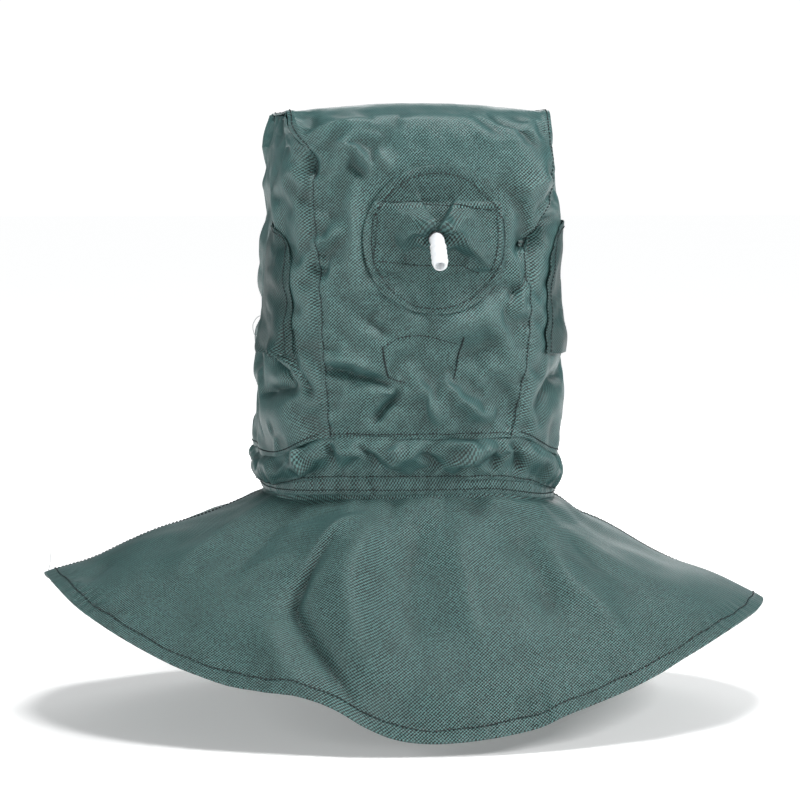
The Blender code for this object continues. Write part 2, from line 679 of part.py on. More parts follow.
def hexagon(radius, count):
    """count points round a hexagon's outline."""
    points = []
    for a in circle(count):
        within = (a % (math.pi / 3)) - math.pi / 6
        r = radius * math.cos(math.pi / 6) / math.cos(within)
        points.append((r * math.cos(a), r * math.sin(a)))
    return points


# ---- head harness -------------------------------------------------------------------------------
def headband_z(y):
    """Height of the headband's middle, which is low at the back of the head."""
    return BROW_Z + HEADBAND_TILT * (y - HEAD_B)


def head_ring(angle, off, rise_by):
    point = ring_point(angle, HEAD_A + off, HEAD_B + off, 0.0, 2.0)
    point.z = headband_z(point.y) + rise_by
    return point


def strap_arch(angle, reach, over, roots):
    """A strap over the head, as (along, z): upright at each of its two roots, and level at z = over."""
    root = roots[0] if angle < math.pi / 2 else roots[1]
    c, s = abs(math.cos(angle)), abs(math.sin(angle))
    radius = (c ** 3 + s ** 3) ** (-1 / 3)
    return math.copysign(reach * radius * c, math.cos(angle)), root + (over - root) * radius * s


def harness():
    half = HEADBAND_H / 2
    sheet("headband", lambda a, z: head_ring(a, 0, z), circle(40), [-half, half], "webbing",
          thickness=0.0020, closed=True, inside=(0, 0, -0.09))
    sheet("brow_pad", lambda a, z: head_ring(a, -0.0048, z), [math.radians(d) for d in steps(38, 142, 10)],
          [-half - 0.0015, 0, half + 0.0015], "foam", thickness=0.0040, inside=(0, 0, -0.06))

    def cross(angle, side):
        x, z = strap_arch(angle, HEAD_A + 0.0034, 0.0, (headband_z(0), headband_z(0)))
        return Vector((x, side, z))

    def lengthways(angle, side):
        y, z = strap_arch(angle, HEAD_B + 0.0034, 0.0022, (BROW_Z, headband_z(-HEAD_B)))
        return Vector((side, y, z))
    for name, point in (("cross_strap", cross), ("lengthways_strap", lengthways)):
        sheet(name, point, steps(0, math.pi, 20), [-WEB_HALF, WEB_HALF], "webbing", thickness=WEB,
              inside=(0, 0, -0.06))

    start, end = HEAD_A + 0.0034 + WEB + 0.0006, side_at(headband_z(0)) - 0.0015
    for name, sign in (("left_side_tab", -1), ("right_side_tab", 1)):
        def tab(t, side, sign=sign):
            sag = 0.004 * math.sin(math.pi * t)
            return Vector((sign * (start + (end - start) * t), side, headband_z(0) + 0.006 * t - sag))
        sheet(name, tab, steps(0, 1, 6), [-WEB_HALF, WEB_HALF], "webbing", thickness=WEB,
              inside=(0, 0, -0.70))


NAPE_TOP, NAPE_LOW = Vector((0, -0.1080, -0.1060)), Vector((0, -0.1217, -0.1770))
NAPE_WEB = 0.0012


def nape_strap():
    """The strap from the headband down to the nape anchor, and the slider on it."""
    sheet("nape_strap", lambda t, side: NAPE_LOW.lerp(NAPE_TOP, t) + Vector((side, 0, 0)), steps(0, 1, 2),
          [-0.012, 0.012], "webbing", thickness=NAPE_WEB, inside=(0, 0.5, -0.1))
    direction = (NAPE_TOP - NAPE_LOW).normalized()
    across = Vector((1, 0, 0))
    normal = direction.cross(across)
    outward = normal if normal.y < 0 else -normal
    place = Matrix((across, normal, direction)).transposed().to_4x4()
    place.translation = NAPE_LOW.lerp(NAPE_TOP, 0.5) + outward * NAPE_WEB / 2
    half = 0.0060
    bm = bmesh.new()
    walls = []
    for w, h in ((0.0330, 0.0062), (0.0252, 0.0026)):
        outline = rounded_rectangle(w, h, h * 0.3, 2)
        walls.append([[Vector((x, y, end)) for x, y in outline] for end in (-half, half)])
    pipe_wall(bm, *walls)
    add_object("strap_slider", bm, "frame_plastic").matrix_world = place


def main():
    clear_scene()
    screw_cutter()
    back_and_crown()
    front_panel()
    side_panels()
    ear_patches()
    back_patch()
    inlet_stiffener()
    nape_anchor()
    neck_band()
    neck_casing()
    cape()
    window()
    window_fasteners()
    air_inlet()
    harness()
    nape_strap()


main()
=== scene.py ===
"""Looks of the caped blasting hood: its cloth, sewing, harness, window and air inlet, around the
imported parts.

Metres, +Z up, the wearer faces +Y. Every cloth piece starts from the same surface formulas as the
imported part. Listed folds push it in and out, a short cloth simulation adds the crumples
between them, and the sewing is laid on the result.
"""

import math

import bmesh
import bpy
import numpy as np
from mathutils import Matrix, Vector


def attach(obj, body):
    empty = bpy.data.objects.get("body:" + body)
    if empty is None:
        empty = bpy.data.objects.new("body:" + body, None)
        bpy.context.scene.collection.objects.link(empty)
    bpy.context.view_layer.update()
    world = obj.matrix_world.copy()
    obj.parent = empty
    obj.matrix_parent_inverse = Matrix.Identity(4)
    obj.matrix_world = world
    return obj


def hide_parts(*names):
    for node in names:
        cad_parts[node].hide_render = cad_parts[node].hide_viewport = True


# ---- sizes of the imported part, which the cloth repeats -------------------------------------------
SEAM = 0.0005                                   # gap at a panel's edge
CROWN_Z, SHELL_Z, SIDE_DROOP = 0.038, -0.2455, 0.022    # the hood's top, its lower edge, its sides
SIDE_A, SIDE_LEAN = 0.1318, 0.0136              # half width at the band, and less at the crown
DEPTH_B, BACK_LEAN = 0.1265, 0.0080             # half depth, and less at the crown's back
FOLD_R, CROWN_SAG = 0.036, 0.006                # the strip's bend over the crown
STRIP_LOW, STRIP_HIGH = 0.082, 0.113            # half width of the strip
BACK_N, BACK_N_RISE, FRONT_N = 2.6, 2.6, 6.0    # how square the hood is in plan
NECK_A, NECK_B, NECK_N = 0.1295, 0.1165, 2.6    # the neck ring, in the same way
BAND_LOW, CASING_TOP, CASING_LOW, CAPE_TOP = -0.2815, -0.2825, -0.2970, -0.3000
CAPE_A, CAPE_B, HEM_LOW, HEM_RISE, CAPE_ARCH = 0.3215, 0.2340, -0.4900, 0.1080, 0.008
WINDOW_Z, FRONT_PLANE = -0.115, 0.1286
OPEN_W, OPEN_H, FRAME_W, FRAME_H = 0.112, 0.086, 0.156, 0.130
INLET_X, INLET_Z = 0.0095, -0.0765
PATCH_X, PATCH_Z, PATCH_R = 0.0110, -0.0780, 0.0625
PLATE_X, PLATE_Z, PLATE_W, PLATE_H = 0.0125, -0.0745, 0.106, 0.053
EAR_Y, EAR_Z, EAR_A, EAR_DROP = -0.055, -0.107, 0.045, 0.069
NAPE_Z, NAPE_W, NAPE_H = -0.178, 0.067, 0.031
HEAD_A, HEAD_B, HEADBAND_H, BROW_Z, HEADBAND_TILT = 0.082, 0.102, 0.030, -0.060, 0.27
ELBOW_START, ELBOW_TURN, ELBOW_R, ELBOW_ANGLE = -0.1135, -0.1390, 0.0100, math.radians(45)
TAIL, BORE_R = 0.0265, 0.0040
NAPE_TOP, NAPE_LOW = (0, -0.1080, -0.1060), (0, -0.1217, -0.1770)

# ---- sizes of the cloth and the sewing -----------------------------------------------------------
FABRIC = 0.0008           # canvas thickness
FACE = 0.0012             # outer face of a single layer, over the part's inner face
LAP = 0.0012              # how much higher the strip's turned edge lies than the panel under it
STEP = 0.0022             # mesh spacing of the cloth
FINE = 0.0009             # mesh spacing beside a sewn edge
HEM = 0.0105              # depth of the turned hem
CAPE_TOP_T, CAPE_TURN_UP = 0.016, 0.0052    # the cape's edge in the casing: its t, its height
PITCH, STITCH, THREAD_R = 0.0034, 0.0026, 0.00052   # topstitching: spacing, length, thread radius
TWILL = 0.0019            # from one twill line to the next
CREASE_SHADE_DEPTH = 0.0014           # how deep a crease is where its painted shade is darkest
FOLD_DEPTH = 2.4          # how deep the hand-placed folds are, against their listed heights
WALL_H, FOLD_ARC = 0.2475, 0.0565   # the wall's height up to the crown's bend, and round the bend
SIDE_DEPTH = 0.28         # a side panel's depth along the cloth
NECK_GIRTH, NECK_RING = 0.125, (0.13, 0.12, 2.6)    # the neck's mean radius, its shape in plan
CAPE_SLANT = 0.22         # the cape's mean slant height

# half width of the centre strip up the back, as (z, x): the sewn seams aren't as even as a pattern
SEAM_LEFT = [(-0.2455, 0.079), (-0.214, 0.081), (-0.166, 0.0855), (-0.098, 0.089), (-0.068, 0.092),
             (-0.030, 0.0935), (-0.014, 0.0920), (0.000, 0.0960), (0.012, 0.1030), (0.030, 0.1105)]
SEAM_RIGHT = [(-0.2455, 0.076), (-0.228, 0.081), (-0.171, 0.091), (-0.130, 0.0925), (-0.098, 0.0900),
              (-0.084, 0.0925), (-0.062, 0.1050), (-0.040, 0.1120), (-0.020, 0.1135), (0.016, 0.1130),
              (0.030, 0.1120)]
# how far the cape's hem lies above the part's even hem, as (x, lift), over its back half
HEM_LIFT = [(-0.325, 0.009), (-0.290, 0.005), (-0.240, 0.006), (-0.180, 0.011), (-0.145, 0.018),
            (-0.115, 0.0235), (-0.090, 0.021), (-0.062, 0.009), (-0.030, 0.002), (0.030, 0.001),
            (0.080, 0.002), (0.110, 0.0095), (0.150, 0.0175), (0.190, 0.0255), (0.218, 0.032),
            (0.250, 0.033), (0.288, 0.027), (0.314, 0.016), (0.325, 0.008)]


def steps(low, high, step):
    """Even values from low to high, at most one step apart."""
    count = max(int(math.ceil(abs(high - low) / step)), 1)
    return np.linspace(low, high, count + 1)


def ease(t):
    """0 below 0, 1 above 1, and a smooth ramp between."""
    t = np.clip(t, 0.0, 1.0)
    return t * t * (3 - 2 * t)


def smooth_path(points, count=12):
    """A Catmull-Rom line through given points, with count steps between two of them."""
    p = np.array(points, float)
    p = np.vstack([2 * p[0] - p[1], p, 2 * p[-1] - p[-2]])
    t = np.linspace(0, 1, count, endpoint=False)[:, None]
    parts = []
    for a, b, c, d in zip(p, p[1:], p[2:], p[3:]):
        parts.append(0.5 * (2 * b + (c - a) * t + (2 * a - 5 * b + 4 * c - d) * t ** 2
                            + (3 * b - a - 3 * c + d) * t ** 3))
    return np.vstack(parts + [p[-2:-1]])


def run_along(points):
    """The length from a line's start to each of its points."""
    return np.concatenate([[0], np.cumsum(np.linalg.norm(np.diff(points, axis=0), axis=1))])


def along_line(line, where):
    """Points and normals at these lengths along a line that is given as (points, normals)."""
    along = run_along(line[0])
    return (np.stack([np.interp(where, along, q[:, k]) for k in range(3)], -1) for q in line)


def full_turn(count):
    """count angles evenly round a circle."""
    return np.linspace(0, 2 * math.pi, count, endpoint=False)


HEM_LINE = smooth_path(HEM_LIFT)
SEAM_LINES = {-1: smooth_path(SEAM_LEFT), 1: smooth_path(SEAM_RIGHT)}


# ---- the hood's shape, as in the part ------------------------------------------------------------
def rise(z):
    """How far up the hood a height is, from 0 at the band to 1 at the crown."""
    return np.clip((z - SHELL_Z) / (CROWN_Z - SHELL_Z), 0.0, 1.0)


def side_at(z):
    """The hood's half width."""
    return SIDE_A - SIDE_LEAN * rise(z) ** 1.5


def depth_at(z, front):
    """The hood's half depth, in front or behind."""
    return DEPTH_B - np.where(front, 0.0, BACK_LEAN * rise(z) ** 2)


def exponent_at(z, front):
    """How square the hood is in plan: 2 would be an ellipse."""
    return np.where(front, FRONT_N, BACK_N + BACK_N_RISE * rise(z))


def wall_drop(x, z, front):
    """How far the wall at x lies behind its middle, in plan."""
    n = exponent_at(z, front)
    share = np.clip(np.abs(x) / side_at(z), 0.0, 0.9999)
    return depth_at(z, front) * (1 - (1 - share ** n) ** (1 / n))


def side_bulge(y, z):
    """The half width of the hood at this depth y."""
    n = exponent_at(z, y > 0)
    share = np.clip(np.abs(y) / depth_at(z, y > 0), 0.0, 0.9999)
    return side_at(z) * (1 - share ** n) ** (1 / n)


def droop(x):
    """How much lower the hood's edge is towards its sides."""
    return SIDE_DROOP * ease((np.abs(x) - STRIP_LOW) / (SIDE_A - STRIP_LOW))


def profile(s):
    """The strip's centre line at station s, as (y, z) and the outward direction as (ny, nz). Stations
    run up the back to 1, round its bend to 2, over the crown to 3, round the front's bend to 4, and
    down the front to 5."""
    front = s > 2.5
    q = np.where(front, 5 - s, s)
    sign = np.where(front, 1.0, -1.0)
    low, high = SHELL_Z + SEAM, CROWN_Z - FOLD_R
    edge = depth_at(np.full_like(q, high), front) - FOLD_R
    a = np.radians(90 * np.clip(q - 1, 0, 1))
    ny, nz = sign * np.cos(a), np.sin(a)
    z = np.where(q <= 1, low + (high - low) * q, high + FOLD_R * np.sin(a))
    y = np.where(q <= 1, depth_at(z, front), edge + FOLD_R * np.cos(a))
    y = sign * np.where(q > 2, edge * (1 - 2 * (q - 2)), y)
    return y, z, np.where(q <= 1, sign, ny), np.where(q <= 1, 0.0, nz)


def even_half(z):
    """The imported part's half width of the strip, which widens evenly up the hood."""
    return STRIP_LOW + (STRIP_HIGH - STRIP_LOW) * rise(z) ** 1.6


def strip_edge(s, side):
    """Half width of the centre strip at station s, on the side with that sign."""
    z = profile(s)[1]
    even = even_half(z)
    left, right = (np.interp(z, line[:, 0], line[:, 1]) for line in (SEAM_LINES[-1], SEAM_LINES[1]))
    sewn = np.where(np.asarray(side) < 0, left, right)
    return even + (sewn - even) * np.clip((1.9 - s) / 0.5, 0, 1)


def strip_point(x, s):
    """A point of the strip, x metres from its centre line."""
    y, z, ny, nz = profile(s)
    wall = ny * ny
    drop = wall * wall_drop(x, z, s > 2.5) + (1 - wall) * CROWN_SAG * (x / even_half(z)) ** 2
    return np.stack([x, y - ny * drop, z - nz * drop], -1)


def strip_half(s, side):
    """Half width of the strip with its turned edge, which laps over the side panel."""
    level = np.minimum(s, 5 - s)
    return strip_edge(s, side) + 0.0008 + 0.0014 * np.clip((1.2 - level) / 0.4, 0, 1)


def strip_base(u, s):
    """u runs from -1 to 1 over the strip's width."""
    return strip_point(u * strip_half(s, u), s)


def back_station(z):
    """The station at this height up the back."""
    return (z - SHELL_Z - SEAM) / (CROWN_Z - FOLD_R - SHELL_Z - SEAM)


def side_base(sign):
    """A side panel: t runs from the back seam to the front seam, and level from the band (0) to the
    crown seam (2)."""
    def base(t, level):
        wide = strip_edge(level, sign) + SEAM, strip_edge(5 - level, sign) + SEAM
        back, front = strip_point(wide[0], level), strip_point(wide[1], 5 - level)
        y = back[..., 1] + (front[..., 1] - back[..., 1]) * t
        z = back[..., 2] + (front[..., 2] - back[..., 2]) * t
        ends = side_bulge(back[..., 1], z), side_bulge(front[..., 1], z)
        shift = (wide[0] - ends[0]) * (1 - ease(t)) + (wide[1] - ends[1]) * ease(t)
        width = wide[0] * (1 - ease(t)) + wide[1] * ease(t)
        fade = 1 - np.clip(level - 1, 0, 1) ** 2
        x = width + np.maximum(side_bulge(y, z) + shift - width, 0.0) * fade
        hang = droop(x) * np.clip(1 - level, 0, None) ** 2
        return np.stack([sign * x, y, z - hang], -1)
    return base


def ring_point(angle, a, b, z, n_back, n_front=None):
    """A point on a ring round the hood's axis, with half width a and half depth b."""
    c, s = np.cos(angle), np.sin(angle)
    n = n_back if n_front is None else np.where(s < 0, n_back, n_front)
    radius = (np.abs(c / a) ** n + np.abs(s / b) ** n) ** (-1 / n)
    return np.stack(np.broadcast_arrays(radius * c, radius * s, z), -1)


def even_angles(a, b, n, step):
    """Angles that divide a ring into equal lengths."""
    fine = np.linspace(0, 2 * math.pi, 721)
    along = run_along(ring_point(fine, a, b, 0.0, n))
    count = int(along[-1] / step)
    return np.interp(np.arange(count) / count * along[-1], along, fine)


def neck_tilt(x):
    """How far the neck hangs down at its two sides, more at the right."""
    return -0.0105 * ease((x - 0.055) / 0.075) - 0.0035 * ease((-x - 0.060) / 0.070)


def band_base(angle, t):
    """The neck band from the hood's lower edge (t 0) to the neck (1), blousing between them."""
    high = ring_point(angle, SIDE_A, DEPTH_B, 0.0, BACK_N, FRONT_N)
    top = SHELL_Z - SEAM - droop(high[..., 0])
    neck = ring_point(angle, NECK_A + 0.001, NECK_B + 0.001, 0.0, NECK_N)
    blouse = 0.10 * (top - BAND_LOW) * np.sin(math.pi * np.clip(t * 1.25, 0, 1)) ** 2
    pull = ease((t - 0.35) / 0.65)
    out = high / np.linalg.norm(high, axis=-1)[..., None]
    flat = high + (neck - high) * pull[..., None] + out * blouse[..., None]
    ends = ease((np.abs(flat[..., 0]) - 0.095) / 0.030)
    flat += out * (0.0050 * ends * np.sin(math.pi * np.clip(t, 0, 1)) ** 2)[..., None]
    flat[..., 2] = top + (BAND_LOW - top) * t + (neck_tilt(flat[..., 0]) - 0.0060 * ends) * ease(t / 0.8)
    return flat


def cape_base(angle, t):
    """The cape from its neck (t 0) to its hem (1). Below 0 it is the turned-up edge inside the casing."""
    neck = ring_point(angle, NECK_A, NECK_B, CAPE_TOP, NECK_N)
    neck[..., 2] += CAPE_TURN_UP * np.clip(-t / CAPE_TOP_T, 0, None)
    t = np.maximum(t, 0)
    sag = np.where(neck[..., 0] > 0, 0.9, 0.6)
    tilt = neck_tilt(neck[..., 0]) * (1 + sag * ease(t / 0.15) * (1 - 0.5 * t))
    neck = neck + tilt[..., None] * np.array([0, 0, 1.0])
    x, y = CAPE_A * np.cos(angle), CAPE_B * np.sin(angle)
    back = ease(0.5 - y / 0.10)
    z = HEM_LOW + HEM_RISE * (np.abs(x) / CAPE_A) ** 1.8 - 0.034 * ease((x - 0.06) / 0.22)
    z = z + back * np.interp(x, HEM_LINE[:, 0], HEM_LINE[:, 1])
    hem = np.stack([x, y, z], -1)
    arch = CAPE_ARCH * 4 * t * (1 - t) * np.sin(angle) ** 2
    across = np.stack([np.cos(angle), np.sin(angle), np.ones_like(angle)], -1)
    across /= np.linalg.norm(across, axis=-1)[..., None]
    return neck + (hem - neck) * t[..., None] + across * arch[..., None]


# ---- folds ---------------------------------------------------------------------------------------
class Fold:
    """A ridge (height over 0) or a crease (under 0) along a line on the cloth. It falls away over left
    and right metres on its two sides, as seen from outside along the line, and fades at its ends."""

    def __init__(self, points, height, left, right=None, crest=0.0015, ends=(0.35, 0.35)):
        self.line = smooth_path(points, 8)
        self.height, self.sides = height * FOLD_DEPTH, (left, right or left)
        self.crest, self.ends = crest, ends

    def __call__(self, p, n):
        shape = p.shape[:-1]
        p, n = p.reshape(-1, 3), n.reshape(-1, 3)
        lift = np.zeros(len(p))
        reach = 4.5 * max(self.sides) + 0.012
        near = ((p > self.line.min(0) - reach) & (p < self.line.max(0) + reach)).all(1)
        if near.any():
            delta, tangent, along = nearest(p[near], self.line)
            delta -= (delta * n[near]).sum(1)[:, None] * n[near]
            distance = np.linalg.norm(delta, axis=1)
            left = (np.cross(tangent, delta) * n[near]).sum(1) > 0
            width = np.where(left, *self.sides)
            fade = ease(along / max(self.ends[0], 1e-3)) * ease((1 - along) / max(self.ends[1], 1e-3))
            falling = np.exp(-(np.sqrt(distance ** 2 + self.crest ** 2) - self.crest) / width)
            lift[near] = self.height * fade * falling
        return lift.reshape(shape)


class SeamPull:
    """A sewn line: the thread draws the cloth in along it, and small ripples run away from it."""

    def __init__(self, line, groove=0.0005, ripple=0.0005, wave=0.010, reach=0.006):
        self.line, self.sizes = line, (groove, ripple, wave, reach)
        self.length = np.linalg.norm(np.diff(line, axis=0), axis=1).sum()

    def __call__(self, p, n):
        groove, ripple, wave, reach = self.sizes
        shape = p.shape[:-1]
        p = p.reshape(-1, 3)
        lift = np.zeros(len(p))
        near = ((p > self.line.min(0) - 3 * reach) & (p < self.line.max(0) + 3 * reach)).all(1)
        if near.any():
            delta, _, along = nearest(p[near], self.line)
            distance = np.linalg.norm(delta, axis=1)
            phase = 2 * math.pi * along * self.length / wave
            rippled = np.sin(phase + 1.9 * np.sin(phase / 3.1)) * (0.6 + 0.4 * np.sin(phase / 5.3))
            lift[near] = ripple * rippled * np.exp(-(distance / reach) ** 2)
            lift[near] -= groove * np.exp(-(distance / 0.0012) ** 2)
        return lift.reshape(shape)


def nearest(p, line):
    """For each point: the step from the line's nearest point to it, the line's direction there, and
    how far along the line that is, from 0 to 1."""
    a, d = line[:-1], np.diff(line, axis=0)
    length = np.linalg.norm(d, axis=1)
    start = run_along(line)
    best = np.full(len(p), np.inf)
    delta, tangent, along = np.zeros_like(p), np.zeros_like(p), np.zeros(len(p))
    for i in range(len(a)):
        rest = p - a[i]
        t = np.clip(rest @ d[i] / max(length[i] ** 2, 1e-12), 0, 1)
        off = rest - t[:, None] * d[i]
        size = (off * off).sum(1)
        closer = size < best
        best[closer] = size[closer]
        delta[closer] = off[closer]
        tangent[closer] = d[i] / max(length[i], 1e-9)
        along[closer] = (start[i] + t[closer] * length[i]) / start[-1]
    return delta, tangent, along


class Undulation:
    """Gentle unevenness of hanging cloth, from seeded waves of about one size."""

    def __init__(self, seed, height, wave, count=14):
        r = np.random.default_rng(seed)
        way = r.normal(size=(count, 3))
        way /= np.linalg.norm(way, axis=1)[:, None]
        self.ways = way * 2 * math.pi / (wave * r.uniform(0.7, 1.6, (count, 1)))
        self.phases = r.uniform(0, 2 * math.pi, count)
        self.height = height * math.sqrt(2 / count)

    def __call__(self, p, n=None):
        return self.height * np.sin(p @ self.ways.T + self.phases).sum(-1)


# ---- cloth surfaces ------------------------------------------------------------------------------
class Surface:
    """A cloth surface over two parameters: a formula, pushed along its normal by its folds, plus the
    moves that a simulation left. It is closed if its first parameter is an angle all round."""

    def __init__(self, base, us, vs, inside, closed=False):
        self.base, self.closed = base, closed
        self.us, self.vs = np.asarray(us, float), np.asarray(vs, float)
        self.end = self.us[0] + 2 * math.pi if closed else self.us[-1]
        self.folds, self.moves, self.slack, self.lowest = [], None, None, None
        self.eps = (self.us[-1] - self.us[0]) * 2e-4, (self.vs[-1] - self.vs[0]) * 2e-4
        u, v = np.meshgrid(self.us[::5], self.vs[::5])
        p, n = self.frame(u, v, 1.0)
        self.sign = 1.0 if ((p - np.array(inside)) * n).sum() > 0 else -1.0

    def frame(self, u, v, sign=None):
        """Rest points and outward normals."""
        du, dv = self.eps
        across = self.base(u + du, v) - self.base(u - du, v)
        up = self.base(u, v + dv) - self.base(u, v - dv)
        n = np.cross(across, up)
        n /= np.maximum(np.linalg.norm(n, axis=-1), 1e-12)[..., None]
        return self.base(u, v), n * (self.sign if sign is None else sign)

    def lift(self, p, n):
        """How far the folds lift these points. slack(p), from 0 to 1, says how free the cloth is to
        fold, and lowest is where it lies on what is under it."""
        total = sum((fold(p, n) for fold in self.folds), np.zeros(p.shape[:-1]))
        total = total if self.slack is None else total * self.slack(p)
        return total if self.lowest is None else np.maximum(total, self.lowest)

    def at(self, u, v, off=0.0):
        u, v = np.broadcast_arrays(np.asarray(u, float), np.asarray(v, float))
        p, n = self.frame(u, v)
        return p + n * (off + self.lift(p, n))[..., None] + self.moved(u, v)

    def normal(self, u, v, off=0.0):
        du, dv = (8 * e for e in self.eps)
        across = self.at(u + du, v, off) - self.at(u - du, v, off)
        up = self.at(u, v + dv, off) - self.at(u, v - dv, off)
        n = np.cross(across, up)
        return self.sign * n / np.maximum(np.linalg.norm(n, axis=-1), 1e-12)[..., None]

    def moved(self, u, v):
        """The simulated move at (u, v), by cubic interpolation on the simulation's grid."""
        if self.moves is None:
            return np.zeros(u.shape + (3,))
        us, vs, grid = self.moves
        fu = np.interp(u, us, np.arange(len(us)))
        fv = np.interp(v, vs, np.arange(len(vs)))
        iu, iv = np.floor(fu).astype(int), np.floor(fv).astype(int)
        total = np.zeros(u.shape + (3,))
        for a in range(-1, 3):
            for b in range(-1, 3):
                weight = cubic(fu - iu - a) * cubic(fv - iv - b)
                row = np.clip(iv + b, 0, len(vs) - 1)
                column = (iu + a) % (len(us) - 1) if self.closed else np.clip(iu + a, 0, len(us) - 1)
                total += weight[..., None] * grid[row, column]
        return total


def cubic(x):
    """The weight of a grid point x steps away, in cubic interpolation."""
    x = np.abs(x)
    outer = np.where(x < 2, -0.5 * x ** 3 + 2.5 * x ** 2 - 4 * x + 2, 0)
    return np.where(x < 1, 1.5 * x ** 3 - 2.5 * x ** 2 + 1, outer)


def crumple(surface, columns, rows, growth, pressure, cap, free_rows=(), seed=1):
    """Simulates the surface as cloth a little too large for its seams, and keeps how far each point
    moved. free_rows says which of the first (0) and last (1) rows aren't sewn down. cap limits the
    moves, in metres."""
    us = np.linspace(surface.us[0], surface.end, columns + 1)
    vs = np.linspace(surface.vs[0], surface.vs[-1], rows + 1)
    u, v = np.meshgrid(us[:-1] if surface.closed else us, vs)
    start = surface.at(u, v)
    start = start + surface.frame(u, v)[1] * Undulation(seed, 0.0006, 0.035)(start)[..., None]
    count = u.shape[1]
    faces = grid_faces(rows + 1, count, surface.closed)[0]
    if surface.sign < 0:
        faces = faces[:, ::-1]
    mesh = bpy.data.meshes.new("crumple")
    mesh.from_pydata(start.reshape(-1, 3).tolist(), [], faces.tolist())
    item = bpy.data.objects.new("crumple", mesh)
    bpy.context.scene.collection.objects.link(item)
    j, i = np.meshgrid(np.arange(rows + 1), np.arange(count), indexing="ij")
    sewn = np.zeros(j.shape, bool)
    if 0 not in free_rows:
        sewn |= j == 0
    if 1 not in free_rows:
        sewn |= j == rows
    if not surface.closed:
        sewn |= (i == 0) | (i == count - 1)
    group = item.vertex_groups.new(name="pin")
    group.add(np.flatnonzero(sewn.ravel()).tolist(), 1.0, "REPLACE")
    cloth = item.modifiers.new("cloth", "CLOTH")
    s = cloth.settings
    s.quality, s.mass, s.bending_stiffness = 5, 0.25, 1.2
    s.tension_stiffness = s.compression_stiffness = 20
    s.shear_stiffness, s.shrink_min, s.air_damping = 12, -growth, 3.0
    s.use_pressure, s.uniform_pressure_force = True, pressure
    s.vertex_group_mass, s.pin_stiffness = "pin", 1.0
    s.effector_weights.gravity = 0
    cloth.collision_settings.use_collision = False
    scene = bpy.context.scene
    for frame_number in range(1, 21):
        scene.frame_set(frame_number)
    shape = item.evaluated_get(bpy.context.evaluated_depsgraph_get()).to_mesh()
    end = np.zeros(len(shape.vertices) * 3)
    shape.vertices.foreach_get("co", end)
    bpy.data.objects.remove(item)
    scene.frame_set(1)
    move = end.reshape(start.shape) - start
    size = np.linalg.norm(move, axis=-1)[..., None]
    move *= cap / (cap + size)
    if surface.slack is not None:
        move *= surface.slack(start)[..., None]
    surface.moves = us, vs, np.concatenate([move, move[:, :1]], 1) if surface.closed else move


# ---- meshes --------------------------------------------------------------------------------------
def hollows(p, n, closed, reach=3):
    """How far each grid point lies below the middle of the points around it."""
    rows, columns = p.shape[:2]
    total = np.zeros(p.shape)
    for dj, di in ((-reach, 0), (reach, 0), (0, -reach), (0, reach)):
        j = np.clip(np.arange(rows) + dj, 0, rows - 1)
        i = np.arange(columns) + di
        i = i % columns if closed else np.clip(i, 0, columns - 1)
        total += p[j][:, i]
    return ((total / 4 - p) * n).sum(-1)


def add_piece(name, points, faces, material, uv=None, marks=None, body="hood", smooth=45):
    """A visible piece. uv holds a value for each face's corner, and marks the wear and the fold at
    each point: the material turns the fold into painted shade in creases and a painted highlight on
    ridges."""
    mesh = bpy.data.meshes.new(name)
    mesh.from_pydata(np.asarray(points).tolist(), [], [tuple(int(i) for i in f) for f in faces])
    if uv is not None:
        layer = mesh.uv_layers.new(name="UVMap")
        layer.data.foreach_set("uv", np.asarray(uv, np.float32).ravel())
    for k, mark in enumerate(("wear", "fold") if marks is not None else ()):
        layer = mesh.attributes.new(mark, "FLOAT", "POINT")
        layer.data.foreach_set("value", np.asarray(marks[:, k], np.float32).ravel())
    mesh.update()
    mesh.shade_smooth()
    mesh.set_sharp_from_angle(angle=math.radians(smooth))
    item = bpy.data.objects.new(name, mesh)
    bpy.context.scene.collection.objects.link(item)
    mesh.materials.append(material)
    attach(item, body)
    return item


def grid_faces(rows, columns, closed):
    """The quads of a grid, and the same quads on a grid one column wider, which a closed grid's last
    column needs for its UVs."""
    i = np.arange(columns if closed else columns - 1)
    ii, jj = np.meshgrid(i, np.arange(rows - 1))
    k = (ii + 1) % columns
    quads = [jj * columns + ii, jj * columns + k, (jj + 1) * columns + k, (jj + 1) * columns + ii]
    wide = columns + 1
    flat = [jj * wide + ii, jj * wide + ii + 1, (jj + 1) * wide + ii + 1, (jj + 1) * wide + ii]
    return np.stack(quads, -1).reshape(-1, 4), np.stack(flat, -1).reshape(-1, 4)


